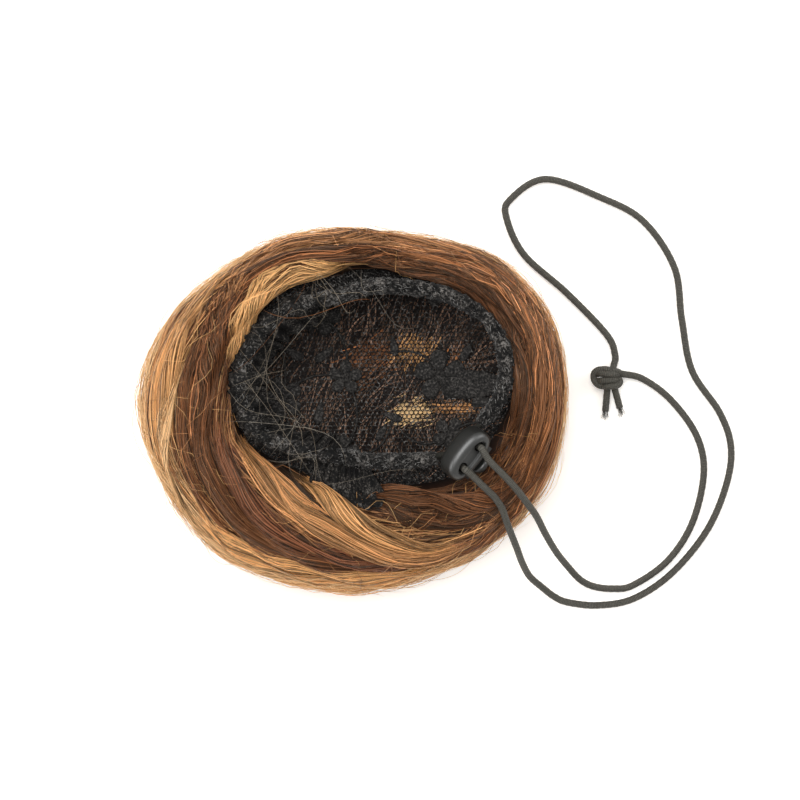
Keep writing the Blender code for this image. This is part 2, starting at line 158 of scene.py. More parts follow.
def pick(*pieces):
    """Selects these pieces alone and makes the first one active."""
    bpy.ops.object.select_all(action="DESELECT")
    for piece in pieces:
        piece.select_set(True)
    bpy.context.view_layer.objects.active = pieces[0]


# %% [markdown]
# ## A helper for finishes
# A finish is a small tree of shader nodes. Written out by hand it is long, so
# one class wraps a node's socket and lets sums be written as Python sums. A
# second class makes the nodes and joins them to the surface.

# %% Shader sums
class Wire:
    """One output of a shader node, on which arithmetic can be written."""

    def __init__(self, finish, socket):
        self.finish = finish
        self.socket = socket

    def maths(self, operation, other=None, swapped=False):
        values = [self] if other is None else [other, self] if swapped else [self, other]
        return self.finish.node("ShaderNodeMath", {"operation": operation}, dict(enumerate(values)))

    def __add__(self, other):
        return self.maths("ADD", other)

    __radd__ = __add__

    def __mul__(self, other):
        return self.maths("MULTIPLY", other)

    __rmul__ = __mul__

    def __sub__(self, other):
        return self.maths("SUBTRACT", other)

    def __rsub__(self, other):
        return self.maths("SUBTRACT", other, swapped=True)

    def sine(self):
        return self.maths("SINE")

    def clamped(self):
        made = self.maths("MULTIPLY", 1.0)
        made.socket.node.use_clamp = True
        return made


class Finish:
    """A material under a plain name, with its surface shader at hand."""

    def __init__(self, name, roughness, **fixed):
        self.material = bpy.data.materials.new(name)
        self.material.use_nodes = True
        self.tree = self.material.node_tree
        self.surface = self.tree.nodes["Principled BSDF"]
        self.surface.inputs["Roughness"].default_value = roughness
        self.surface.inputs["Metallic"].default_value = 0.0
        for socket, value in fixed.items():
            self.surface.inputs[socket.replace("_", " ")].default_value = value

    def node(self, kind, settings=None, sockets=None, output=0):
        made = self.tree.nodes.new(kind)
        for key, value in (settings or {}).items():
            if key == "stops":
                ramp = made.color_ramp
                while len(ramp.elements) < len(value):
                    ramp.elements.new(0.5)
                for element, (place, colour) in zip(ramp.elements, value):
                    element.position = place
                    element.color = (*colour, 1.0)
            else:
                setattr(made, key, value)
        for key, value in (sockets or {}).items():
            self.join(made.inputs[key], value)
        return Wire(self, made.outputs[output])

    def join(self, socket, value):
        if isinstance(value, Wire):
            self.tree.links.new(value.socket, socket)
        elif isinstance(value, tuple) and len(value) == 3 and socket.type == "RGBA":
            socket.default_value = (*value, 1.0)
        else:
            socket.default_value = value

    def colour(self, value):
        self.join(self.surface.inputs["Base Color"], value)

    def roughness(self, value):
        self.join(self.surface.inputs["Roughness"], value)

    def place(self):
        """Object coordinates in metres."""
        return self.node("ShaderNodeTexCoord", output=3)

    def along(self, scale=(1.0, 1.0, 1.0)):
        """The piece's own map, which runs along and round it."""
        spot = self.node("ShaderNodeUVMap", {"uv_map": "along"})
        return self.node("ShaderNodeMapping", {}, {"Vector": spot, "Scale": scale})

    def noise(self, where, scale, detail=3.0, rough=0.6):
        sockets = {"Vector": where, "Scale": scale, "Detail": detail, "Roughness": rough}
        return self.node("ShaderNodeTexNoise", {}, sockets)

    def blend(self, share, first, second):
        return self.node("ShaderNodeMix", {"data_type": "RGBA"}, {0: share, 6: first, 7: second}, output=2)

    def ramp(self, share, stops):
        """Colours by a share from 0 to 1. Each stop is a place and a screen colour."""
        colours = [(place, shade(*tone)) for place, tone in stops]
        return self.node("ShaderNodeValToRGB", {"stops": colours}, {0: share})

    def bump(self, height, strength, distance):
        sockets = {"Height": height, "Strength": strength, "Distance": distance}
        self.join(self.surface.inputs["Normal"], self.node("ShaderNodeBump", {}, sockets))

    def dress(self, *pieces):
        for piece in pieces:
            piece.data.materials.clear()
            piece.data.materials.append(self.material)


def shade(red, green, blue):
    """A screen colour from 0 to 255 as the linear colour that shaders use."""
    value = np.array([red, green, blue]) / 255.0
    linear = np.where(value <= 0.04045, value / 12.92, ((value + 0.055) / 1.055) ** 2.4)
    return tuple(float(v) for v in linear)


def flecked(name, roughness, specular, grain, stops, relief=None, darker=None, **fixed):
    """A thread finish: fine specks coloured by a ramp. Where darker is given, broad patches of painted shade, for the
    shadows between puckers, darken it.
    """
    finish = Finish(name, roughness, Specular_IOR_Level=specular, **fixed)
    speck = finish.noise(finish.place(), *grain)
    if darker is not None:
        # Broad noise patches lower the tone here: painted shade for the shadows between puckers.
        speck = speck * 0.84 + finish.noise(finish.place(), PAINTED_SHADE_SCALE, 1.0) * 0.30 - darker
    finish.colour(finish.ramp(speck, stops))
    if relief:
        finish.bump(speck, *relief)
    return finish


# Size of the broad patches of painted shade.
PAINTED_SHADE_SCALE = 220.0


# %% [markdown]
# ## The two loose cords
# Elastic cord is a rubber core in a braided sleeve. It comes out of the cord
# lock's holes, bends down over the hair under its own weight, and lies on the
# table in two open curves that meet in the knot. The routes repeat the frame's
# own points. A tube with many rings carries the braid as real relief, which
# catches the light better than a painted pattern on something this thin.

# %% Routes of the cords
CORD_RADIUS = 1.25
LOCK_MIDDLE = np.array([39.2, -13.9, 48.5])
LOCK_LEAN = math.radians(50.0)
LONG_ROUTE = (
    # x, y, height
    (41.5, -21.6, 51.8), (45.4, -25.4, 50.6), (49.1, -29.0, 48.6), (51.7, -33.0, 45.8),
    (53.1, -36.7, 42.4), (54.9, -41.3, 37.0), (57.5, -47.4, 29.0), (59.9, -53.2, 19.0),
    (63.0, -58.6, 10.0), (67.6, -62.8, 4.4), (72.3, -66.5, 1.9), (77.1, -68.5, 1.3),
    (87.6, -69.6, 1.3), (100.5, -67.3, 1.3), (114.2, -58.3, 1.3), (126.8, -43.2, 1.3),
    (133.9, -26.9, 1.3), (135.8, -13.0, 1.3), (131.8, -0.5, 1.3), (121.8, 14.7, 1.3),
    (118.1, 33.2, 1.3), (115.4, 51.9, 1.3), (104.2, 68.5, 1.3), (88.9, 77.0, 1.3),
    (69.0, 83.6, 1.3), (56.4, 76.2, 1.3), (55.1, 69.6, 1.3), (61.4, 56.4, 1.3),
    (76.8, 42.6, 1.3), (91.0, 27.8, 1.3), (94.1, 20.4, 1.5), (93.5, 16.5, 2.6),
)
SHORT_ROUTE = (
    (47.1, -16.4, 52.4), (51.9, -21.2, 50.6), (56.4, -26.1, 48.4), (60.9, -31.9, 44.6),
    (63.8, -35.9, 40.2), (67.4, -42.4, 31.0), (71.9, -49.4, 19.0), (76.6, -55.1, 8.0),
    (81.4, -60.2, 3.0), (86.4, -62.8, 1.4), (93.3, -63.6, 1.3), (100.5, -62.4, 1.3),
    (112.8, -53.8, 1.3), (121.8, -40.1, 1.3), (126.0, -22.0, 1.3), (123.3, -8.4, 1.3),
    (114.1, 4.3, 1.3), (104.0, 11.8, 1.5), (96.0, 13.7, 2.9),
)
lock_across = np.array([0.61, 0.79, 0.0]) / math.hypot(0.61, 0.79)
lock_away = np.array([0.79, -0.61, 0.0]) / math.hypot(0.61, 0.79)
lock_button = lock_away * math.sin(LOCK_LEAN) - np.array([0, 0, math.cos(LOCK_LEAN)])
lock_along = lock_away * math.cos(LOCK_LEAN) + np.array([0, 0, math.sin(LOCK_LEAN)])


def hole_point(side, depth):
    return LOCK_MIDDLE + lock_across * side * 4.5 + lock_along * depth


def smooth_path(route, step):
    """Points an even distance apart on a smooth curve through the route."""
    route = np.asarray(route, float)
    ends = np.vstack([2 * route[0] - route[1], route, 2 * route[-1] - route[-2]])
    where = np.linspace(0, len(route) - 1, 60 * (len(route) - 1) + 1)[:, None]
    low = np.minimum(where.astype(int), len(route) - 2)
    part = where - low
    fine = curve_through(*(ends[low[:, 0] + step_on] for step_on in range(4)), part)
    run = np.concatenate([[0], np.cumsum(np.linalg.norm(np.diff(fine, axis=0), axis=1))])
    wanted = np.linspace(0, run[-1], max(2, round(run[-1] / step)) + 1)
    return np.stack([np.interp(wanted, run, fine[:, axis]) for axis in range(3)], 1)


def bowed(first, pull, last, part):
    """Points on the curve from first to last that bends towards pull."""
    return (1 - part) ** 2 * first + 2 * part * (1 - part) * pull + part**2 * last


def length_of(path):
    return float(np.linalg.norm(np.diff(path, axis=0), axis=1).sum())


# %% The braided cords
BRAID_STEP = 0.55
BRAID_SIDES = 12
BRAID_PITCH = 4.4
BRAID_RELIEF = 0.07


def braided_cord(name, path):
    """A round cord whose radius rises and falls with its crossing strands."""
    steps = len(path)
    turn = 2 * np.pi * np.arange(BRAID_SIDES) / BRAID_SIDES
    run = np.arange(steps)[:, None] * BRAID_STEP
    left = np.sin(4 * turn[None] + run * 2 * np.pi / BRAID_PITCH)
    right = np.sin(4 * turn[None] - run * 2 * np.pi / BRAID_PITCH)
    swell = CORD_RADIUS - BRAID_RELIEF + BRAID_RELIEF * np.maximum(left, right)
    ahead = unit(np.gradient(path, axis=0))
    across = unit(np.cross(ahead, np.tile([0.05, 0.02, 1.0], (steps, 1))))
    over = np.cross(across, ahead)
    points = (path[:, None] + swell[..., None] * spokes(across, over, turn)).reshape(-1, 3)
    walls = grid_walls(steps, BRAID_SIDES, columns_close=True)
    sides = np.arange(BRAID_SIDES)
    caps = np.stack([sides[::-1], (steps - 1) * BRAID_SIDES + sides])
    uv = np.stack(np.broadcast_arrays(run, turn[None] / (2 * np.pi)), -1).reshape(-1, 2)
    return mesh_piece(name, points, [walls, caps], uv=uv)


def leg_path(side, route):
    start = [hole_point(side, 4.1), hole_point(side, 5.3)]
    return smooth_path(start + list(route), BRAID_STEP)


long_path = leg_path(-1, LONG_ROUTE)
short_path = leg_path(1, SHORT_ROUTE)
long_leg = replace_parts(braided_cord("elastic_long_leg", long_path), "cord_long_leg")
short_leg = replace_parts(braided_cord("elastic_short_leg", short_path), "cord_short_leg")
print("cord lengths in millimetres:", length_of(long_path), length_of(short_path))

# %% [markdown]
# ## The knot
# The two cords are tied together in one overhand knot with two short ends. A
# knot is easiest as what it is: pieces of the same cord that bend tightly over
# a firm core. One turn makes the round eye at the left, two turns wrap over the
# front, one closes below, and the two ends hang out with their fibres frayed.

# %% Tie the knot
KNOT = np.array([90.9, 12.2, 3.5])
WRAPS = (
    # name, then the points that the cord follows, from the knot's middle
    ("eye", (
        (0.2, 2.2, 0.2), (-1.6, 2.9, 0.9), (-3.8, 2.4, 0.7), (-4.7, 0.6, 0.2),
        (-4.0, -1.6, 0.4), (-2.2, -2.9, 0.6), (0.2, -2.6, 0.4))),
    ("front_wrap", (
        (-3.6, 1.4, -0.6), (-2.2, 1.5, 1.7), (0.4, 1.2, 2.4), (2.8, 1.0, 1.6), (4.0, 0.6, -0.8))),
    ("second_wrap", (
        (-3.4, -1.4, -0.8), (-2.0, -1.1, 1.6), (0.6, -1.0, 2.3), (2.8, -0.9, 1.5), (3.9, -0.6, -0.8))),
    ("low_wrap", (
        (-2.2, -2.4, -0.8), (-1.0, -3.1, 1.1), (1.2, -3.1, 1.9),
        (3.4, -2.8, 1.5), (4.7, -1.8, 0.5), (4.4, -0.2, -0.4))),
    ("top_bend", (
        (2.6, 4.3, -0.8), (1.8, 2.6, 1.0), (0.0, 2.9, 1.5), (-1.8, 3.0, 0.6))),
    ("side_bend", (
        (5.1, 1.5, -0.6), (3.6, 2.2, 0.8), (1.8, 2.2, 1.4), (0.2, 1.2, 0.8))),
)
ENDS = (
    ("left_end", ((-0.2, -1.4, -0.2), (0.2, -3.6, -0.3), (0.1, -6.6, -1.2), (-0.3, -12.0, -2.0))),
    ("right_end", ((2.2, -1.4, -0.2), (2.8, -3.6, -0.3), (3.6, -6.2, -1.2), (4.9, -10.8, -2.0))),
)
knot_pieces = []
for name, route in WRAPS + ENDS:
    path = smooth_path(KNOT + np.array(route), BRAID_STEP)
    knot_pieces.append(braided_cord("knot_" + name, path))


def frayed(tip, ahead, count):
    """Loose fibres that spread from the cut end of a cord."""
    way = unit(np.asarray(ahead, float))
    side = unit(np.cross(way, [0, 0, 1.0]))
    lean = dice.normal(0, 0.30, (count, 2))
    reach = dice.uniform(1.2, 3.6, count)
    part = np.linspace(0, 1, 5)[None, :, None]
    spread = side * lean[:, :1] + np.array([0, 0, 1.0]) * np.abs(lean[:, 1:]) * 0.5
    aside, above = dice.uniform(-0.9, 0.9, (count, 1)), dice.uniform(-0.7, 0.7, (count, 1))
    root = tip + side * aside + np.array([0, 0, 1]) * above
    paths = root[:, None] + (way[None, None] * part + spread[:, None] * part**2) * reach[:, None, None]
    paths[..., 2] = np.maximum(paths[..., 2], 0.15)
    radius = np.full(paths.shape[:2], 0.09) * np.linspace(1, 0.5, 5)[None]
    return paths, radius


fibres = [frayed(KNOT + np.array(route[-1]), np.subtract(route[-1], route[-2]), 26) for _, route in ENDS]
paths = np.concatenate([each[0] for each in fibres])
radius = np.concatenate([each[1] for each in fibres])
points, faces = tubes(paths, radius, np.tile([0.1, 0.2, 1.0], (*radius.shape, 1)))
fray = mesh_piece("knot_frayed_fibres", points, faces)


def joined(name, pieces):
    """Makes one piece of several, with their maps kept."""
    pick(*pieces)
    bpy.ops.object.join()
    pieces[0].name = name
    pieces[0].data.name = name
    return pieces[0]


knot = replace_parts(joined("cord_knot_tied", knot_pieces), "cord_knot")
print("knot triangles:", sum(len(face.vertices) - 2 for face in knot.data.polygons))

# %% Braided elastic
elastic = Finish("braided_elastic", 0.62, Specular_IOR_Level=0.35)
lengthwise = elastic.node("ShaderNodeSeparateXYZ", {}, {0: elastic.along()}, output=0)
roundwise = elastic.node("ShaderNodeSeparateXYZ", {}, {0: elastic.along()}, output=1)
one_way = (lengthwise * (2 * math.pi / 1.1) + roundwise * (2 * math.pi * 8)).sine()
other_way = (lengthwise * (2 * math.pi / 1.1) - roundwise * (2 * math.pi * 8)).sine()
weave = (one_way * other_way * 0.5 + 0.5).clamped()
fleck = elastic.noise(elastic.place(), 2600.0, 2.0)
tone = (weave * 0.45 + fleck * 0.75).clamped()
elastic.colour(elastic.ramp(tone, ((0.15, (18, 17, 14)), (0.50, (46, 44, 38)), (0.95, (98, 95, 87)))))
elastic.bump(weave + fleck * 0.6, 0.8, 0.00016)
elastic.dress(long_leg, short_leg, knot, fray)

# %% [markdown]
# ## The plan of the hair
# The hair is a thick ring. At each angle it runs from the lip of the opening,
# over a soft crest, out to the widest line and under to the table. A place on
# it is given by an angle and a share: 0 at the lip, 1 at the widest line and 2
# under the middle. A fine grid of these places is worked out once, and every
# strand then reads its path from the grid.

# %% Radii and heights of the ring
OPENING = np.array([7.2, 10.4])
RIM, LIP, EDGE = 1, 2, 3
PLAN = np.array([
    # angle, rim, lip, edge
    (0.0, 45.5, 49.9, 75.6), (22.5, 45.9, 49.9, 77.2), (45.0, 40.3, 45.0, 75.0),
    (67.5, 34.9, 39.8, 66.3), (90.0, 32.6, 41.0, 64.2), (112.5, 31.7, 41.7, 66.4),
    (135.0, 36.6, 45.7, 68.3), (157.5, 41.5, 47.4, 73.9), (180.0, 44.7, 48.6, 75.6),
    (202.5, 42.3, 50.0, 71.9), (225.0, 33.1, 43.3, 69.8), (247.5, 27.7, 40.5, 65.2),
    (270.0, 27.2, 38.5, 64.2), (292.5, 29.2, 41.0, 64.5), (315.0, 35.0, 47.0, 67.9),
    (337.5, 39.6, 48.4, 73.0),
])
OVER = np.array([
    # share, height
    (-0.20, 33.0), (0.00, 42.0), (0.05, 44.4), (0.11, 46.0), (0.17, 47.0), (0.23, 47.4),
    (0.29, 47.4), (0.35, 47.2), (0.41, 46.7), (0.47, 45.9), (0.53, 44.9), (0.59, 43.6),
    (0.65, 42.0), (0.71, 40.0), (0.77, 37.6), (0.83, 34.6), (0.89, 31.0), (0.94, 27.2),
    (0.98, 23.0), (1.00, 18.6), (1.08, 12.6), (1.22, 6.6), (1.42, 2.2), (1.62, 0.5), (2.0, 0.5),
])
UNDER = np.array([
    # share, part of the edge radius
    (1.00, 1.000), (1.08, 0.980), (1.22, 0.905), (1.42, 0.760), (1.62, 0.560), (2.0, 0.15),
])
RISES = (
    # height, half width as a share, angle and share where each part of it runs
    (1.6, 0.075, ((104, -0.08), (130, 0.18), (153, 0.22), (184, 0.26), (204, 0.34))),
    (1.3, 0.070, ((146, 0.66), (172, 0.60), (192, 0.66), (209, 0.80), (252, 0.88))),
    (1.9, 0.085, ((202, -0.06), (225, 0.16), (240, 0.24), (266, 0.52), (294, 0.68), (330, 0.66))),
    (1.6, 0.070, ((234, -0.05), (262, 0.23), (282, 0.44), (308, 0.62))),
    (1.3, 0.065, ((262, -0.16), (289, 0.04), (307, 0.32), (341, 0.58))),
    (1.6, 0.080, ((60, 0.10), (90, 0.20), (120, 0.40), (161, 0.54))),
    (1.2, 0.060, ((-40, 0.30), (-12, 0.20), (15, 0.06), (56, -0.06))),
    (1.5, 0.075, ((-28, 0.74), (5, 0.46), (34, 0.28), (67, 0.20))),
)


def ring(column, angle):
    """One radius of the plan at each angle, on a smooth closed curve."""
    where = (np.asarray(angle, float) % 360.0) / 22.5
    low = np.floor(where).astype(int)
    part = where - low
    values = PLAN[:, column]
    return curve_through(*(values[(low + step) % len(PLAN)] for step in (-1, 0, 1, 2)), part)


def heading(angle):
    return np.stack([np.cos(np.radians(angle)), np.sin(np.radians(angle))], -1)


LOCK_ANGLE = 322.0
PRESSED_DEPTH = 4.6
PRESSED_HALF_ANGLE = 26.0


def dip(angle):
    """How far the cord lock presses the lip of the hair and the lace down."""
    away = (np.asarray(angle, float) - LOCK_ANGLE + 180.0) % 360.0 - 180.0
    return PRESSED_DEPTH * np.exp(-((away / PRESSED_HALF_ANGLE) ** 4))


SWIRL_FROM = 78.0
FIRST_BEND, LAST_BEND = 122.0, 257.0
SLOW_SLOPE, FAST_SLOPE = 0.0045, 0.0089


def swirl_start(angle):
    """The share at which the swirl stands at each angle: out slowly, out fast, then back in."""
    turn = (np.asarray(angle, float) - SWIRL_FROM) % 360.0
    fast = np.clip(turn - FIRST_BEND, 0, LAST_BEND - FIRST_BEND)
    out = np.minimum(turn, FIRST_BEND) * SLOW_SLOPE + fast * FAST_SLOPE
    return out - np.clip(turn - LAST_BEND, 0, None) * 0.00473


def lock_height(angle, share):
    height = 0.9 * np.cos(2 * np.pi * (share - swirl_start(angle)) / 0.18)
    for rise, half_width, route in RISES:
        at = np.array(route)
        turn = at[0, 0] + (angle - at[0, 0]) % 360.0
        middle = np.interp(turn, at[:, 0], at[:, 1])
        ends = np.clip(np.minimum((turn - at[0, 0]) / 14.0, (at[-1, 0] - turn) / 14.0), 0, 1)
        height = height + rise * ends * np.exp(-(((share - middle) / half_width) ** 2))
    return height


# %% The grid that every strand reads
ANGLE_STEP = 1.5
SHARE_STEP = 0.01
grid_angle, grid_share = np.meshgrid(
    np.arange(0, 360, ANGLE_STEP), np.arange(-0.2, 2.0001, SHARE_STEP), indexing="ij"
)


def plain_hair():
    top = np.clip(grid_share, None, 1.0)[..., None]
    inside = OPENING + ring(LIP, grid_angle)[..., None] * heading(grid_angle)
    outside = ring(EDGE, grid_angle)[..., None] * heading(grid_angle)
    under = np.interp(grid_share, UNDER[:, 0], UNDER[:, 1])[..., None]
    flat = np.where(grid_share[..., None] > 1, outside * under, inside * (1 - top) + outside * top)
    height = np.interp(grid_share, OVER[:, 0], OVER[:, 1])
    pressed = dip(grid_angle) * np.clip(1 - (np.clip(grid_share, 0, None) / 0.85) ** 2, 0, None)
    points = np.concatenate([flat, (height - pressed)[..., None]], -1)
    kernel = np.array([1, 2, 3, 4, 3, 2, 1]) / 16.0
    padded = np.pad(points, ((0, 0), (3, 3), (0, 0)), mode="edge")
    return sum(weight * padded[:, k : k + points.shape[1]] for k, weight in enumerate(kernel))


def grid_normals(points):
    round_way = np.roll(points, -1, 0) - np.roll(points, 1, 0)
    out_way = np.gradient(points, axis=1)
    return unit(np.cross(out_way, round_way))


grid_points = plain_hair()
fade = np.clip(grid_share / 0.12, 0, 1) * np.clip(1 - 0.5 * np.clip(grid_share, 0, 1) ** 6, 0, 1)
fade = fade * np.clip((1.5 - grid_share) / 0.5, 0, 1)
relief = (lock_height(grid_angle, grid_share) * fade)[..., None]
grid_points = grid_points + grid_normals(grid_points) * relief
grid_normal = grid_normals(grid_points)
grid_gaps = np.linalg.norm(np.gradient(grid_points, axis=1), axis=-1)
grid_stretch = np.maximum(grid_gaps / SHARE_STEP, 8.0)


def read_grid(grid, angle, share):
    """Values of a grid at any angles and shares, blended between its points."""
    across = (np.asarray(angle, float) % 360.0) / ANGLE_STEP
    out = np.clip((np.asarray(share, float) + 0.2) / SHARE_STEP, 0, grid.shape[1] - 1.001)
    left = across.astype(int) % grid.shape[0]
    right = (left + 1) % grid.shape[0]
    low = out.astype(int)
    one = across - across.astype(int)
    two = out - low
    if grid.ndim == 3:
        one, two = one[..., None], two[..., None]
    near = grid[left, low] * (1 - two) + grid[left, low + 1] * two
    far = grid[right, low] * (1 - two) + grid[right, low + 1] * two
    return near * (1 - one) + far * one


TUCK = 1.9


def on_hair(angle, share, lift):
    """Points lifted off the hair. Near the widest line they lie deeper, which keeps the outline to size."""
    normal = read_grid(grid_normal, angle, share)
    tuck = TUCK * np.clip((np.asarray(share, float) - 0.62) / 0.34, 0, 1)
    return read_grid(grid_points, angle, share) + normal * (np.asarray(lift) - tuck)[..., None], unit(normal)


print("crest height:", grid_points[..., 2].max(), "lip normal:", grid_normal[0, 60])

# %% [markdown]
# ## Tones and named locks
# The hair is a mix of browns with honey and blond locks laid in. Each named
# lock below has its tone, its size and its route round the ring, so the light
# and dark bands fall where they do on the real piece. The strands between them
# borrow the tone of the nearest lock.

# %% Tones and routes of the locks
TONES = {
    "umber": shade(46, 26, 14),
    "chestnut": shade(76, 46, 27),
    "brown": shade(98, 60, 35),
    "plum": shade(112, 68, 45),
    "auburn": shade(134, 87, 54),
    "bronze": shade(168, 120, 76),
    "copper": shade(162, 113, 73),
    "caramel": shade(190, 141, 91),
    "honey": shade(220, 170, 112),
    "wheat": shade(206, 166, 120),
    "gold": shade(240, 180, 116),
    "blond": shade(244, 204, 148),
}
LOCKS = (
    # name, tone, strands, half width, lift, thickness, angle and share of its route
    ("under_left", "brown", 120, 6.0, 0.2, 1.2, (
        (120, 0.30), (150, 0.40), (180, 0.42), (210, 0.62), (240, 0.80))),
    ("left_light", "caramel", 130, 4.2, 0.4, 1.4, (
        (125, 0.83), (144, 0.76), (159, 0.73), (170, 0.76), (181, 0.78), (193, 0.83), (206, 0.93))),
    ("left_edge", "bronze", 120, 4.4, 0.3, 1.4, (
        (130, 0.97), (146, 0.91), (162, 0.88), (172, 0.89), (183, 0.91), (194, 0.95), (208, 1.00))),
    ("left_gap", "brown", 60, 1.2, 0.7, 1.0, (
        (136, 0.90), (150, 0.85), (164, 0.81), (176, 0.82), (188, 0.86), (200, 0.92))),
    ("left_caramel", "caramel", 150, 4.6, 0.8, 1.8, (
        (122, 0.60), (138, 0.63), (152, 0.60), (163, 0.58), (173, 0.57), (183, 0.60), (197, 0.68))),
    ("low_brown", "brown", 150, 4.4, 0.7, 1.8, (
        (184, 0.25), (198, 0.37), (210, 0.46), (223, 0.56), (236, 0.62), (250, 0.66), (263, 0.70),
        (280, 0.75))),
    ("plum_brown", "plum", 140, 4.2, 0.8, 1.8, (
        (192, 0.10), (210, 0.23), (225, 0.40), (242, 0.52), (258, 0.60), (274, 0.66), (296, 0.74))),
    ("blond_streak", "wheat", 140, 2.8, 1.2, 1.8, (
        (164, 0.47), (176, 0.55), (188, 0.65), (200, 0.78), (210, 0.87), (222, 0.90), (238, 0.91),
        (252, 0.90), (268, 0.92))),
    ("bottom_gold", "gold", 200, 4.6, 1.2, 1.7, (
        (214, 0.80), (228, 0.79), (242, 0.79), (256, 0.80), (270, 0.82), (286, 0.85), (302, 0.87))),
    ("low_edge", "gold", 140, 4.0, 0.6, 1.6, (
        (213, 0.96), (223, 0.96), (236, 0.98), (250, 0.98), (264, 0.98), (278, 0.98), (296, 0.97))),
    ("top_brown", "copper", 110, 5.0, 1.2, 2.0, (
        (72, 0.62), (86, 0.58), (100, 0.56), (116, 0.66), (130, 0.60), (145, 0.42), (158, 0.32))),
    ("left_turn", "brown", 100, 5.0, 1.2, 2.0, (
        (132, 0.58), (148, 0.40), (164, 0.25), (181, 0.22), (202, 0.36))),
    ("top_low", "brown", 160, 4.6, 0.8, 1.8, (
        (66, 0.40), (82, 0.24), (98, 0.22), (117, 0.33), (131, 0.38), (144, 0.30), (158, 0.20),
        (178, 0.14), (196, 0.22))),
    ("top_blond", "honey", 210, 4.6, 1.7, 2.2, (
        (101, 0.04), (107, 0.07), (116, 0.12), (127, 0.15), (139, 0.14), (150, 0.10), (160, 0.06),
        (174, 0.04))),
    ("low_blond", "bronze", 200, 4.4, 1.5, 2.2, (
        (201, -0.03), (208, 0.03), (216, 0.09), (227, 0.16), (240, 0.24), (255, 0.34), (270, 0.47),
        (285, 0.61), (299, 0.70), (312, 0.76))),
    ("between", "umber", 110, 2.3, 1.4, 1.6, (
        (216, -0.03), (228, 0.05), (240, 0.14), (254, 0.26), (270, 0.40), (286, 0.55), (302, 0.67))),
    ("second_blond", "caramel", 150, 3.0, 1.8, 2.2, (
        (232, -0.05), (240, 0.01), (249, 0.08), (262, 0.22), (272, 0.33), (286, 0.47), (298, 0.60),
        (308, 0.66))),
    ("dark_low", "chestnut", 110, 4.0, 0.5, 1.4, (
        (272, 0.06), (288, 0.25), (299, 0.36), (312, 0.49), (323, 0.56), (335, 0.56))),
    ("dark_lock", "brown", 180, 4.6, 1.6, 2.0, (
        (268, 0.00), (275, 0.00), (284, 0.02), (297, 0.11), (310, 0.25), (321, 0.42), (332, 0.54))),
    ("top_band", "copper", 190, 5.0, 1.0, 2.0, (
        (118, 0.80), (104, 0.74), (90, 0.76), (77, 0.82), (60, 0.83), (49, 0.80), (40, 0.79), (31, 0.80),
        (21, 0.76), (11, 0.78), (359, 0.85), (346, 0.93))),
    ("top_inner", "chestnut", 90, 3.0, 0.6, 1.6, (
        (50, 0.14), (62, 0.08), (74, 0.05), (86, 0.03), (97, 0.01))),
    ("right_dark", "chestnut", 150, 3.4, 0.5, 1.6, (
        (66, 0.26), (54, 0.22), (42, 0.20), (30, 0.20), (18, 0.20), (6, 0.22), (354, 0.24), (343, 0.28),
        (331, 0.34))),
    ("right_outer", "auburn", 190, 5.4, 1.0, 1.8, (
        (62, 0.69), (49, 0.62), (37, 0.64), (23, 0.60), (9, 0.57), (357, 0.60), (345, 0.64), (333, 0.71),
        (320, 0.78))),
    ("right_middle", "auburn", 150, 4.0, 0.9, 1.8, (
        (78, 0.34), (66, 0.40), (52, 0.42), (38, 0.42), (22, 0.42), (8, 0.42), (355, 0.44), (343, 0.48),
        (328, 0.56))),
    ("right_inner", "brown", 120, 2.2, 1.2, 1.6, (
        (70, 0.00), (60, 0.08), (50, 0.07), (38, 0.05), (26, 0.03), (14, 0.03), (2, 0.05), (349, 0.09),
        (338, 0.12))),
    ("right_low", "copper", 160, 5.0, 0.8, 1.8, (
        (6, 0.84), (351, 0.86), (341, 0.89), (329, 0.94), (315, 0.97), (300, 0.98), (284, 0.94))),
    ("right_turn", "auburn", 150, 4.6, 1.0, 1.8, (
        (10, 0.73), (353, 0.74), (338, 0.79), (324, 0.83), (311, 0.85), (297, 0.84))),
)


def even_route(route, count):
    """Even places along a lock's route, with its corners rounded."""
    at = np.array(route, float)
    turn = np.unwrap(at[:, 0], period=360.0)
    run = np.concatenate([[0], np.cumsum(np.hypot(np.diff(turn) * 1.1, np.diff(at[:, 1]) * 42.0))])
    fine = np.linspace(0, run[-1], 200)
    both = np.stack([np.interp(fine, run, turn), np.interp(fine, run, at[:, 1])], 1)
    padded = np.pad(both, ((12, 12), (0, 0)), mode="reflect", reflect_type="odd")
    smooth = np.stack([np.convolve(padded[:, k], np.ones(25) / 25, "valid") for k in (0, 1)], 1)
    wanted = np.linspace(0, 199, count)
    return np.stack([np.interp(wanted, np.arange(200), smooth[:, k]) for k in (0, 1)], 1)


ROUTE_POINTS = 60
route_places = np.concatenate([even_route(lock[6], ROUTE_POINTS) for lock in LOCKS])
route_tones = np.concatenate([np.tile(TONES[lock[1]], (ROUTE_POINTS, 1)) for lock in LOCKS])
route_space = read_grid(grid_points, route_places[:, 0], route_places[:, 1])


def nearest_tone(points):
    """The tone of the lock that passes nearest to each point."""
    found = np.empty((len(points), 3))
    for start in range(0, len(points), 4000):
        part = points[start : start + 4000]
        gap = ((part[:, None] - route_space[None]) ** 2).sum(-1)
        found[start : start + 4000] = route_tones[gap.argmin(1)]
    return found


# %% [markdown]
# ## The body of the hair
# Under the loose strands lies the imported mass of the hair. It is one closed
# shape in swirled locks, a little inside the strands, so that no gap ever shows
# through. Its streaks follow the same swirl as the locks.

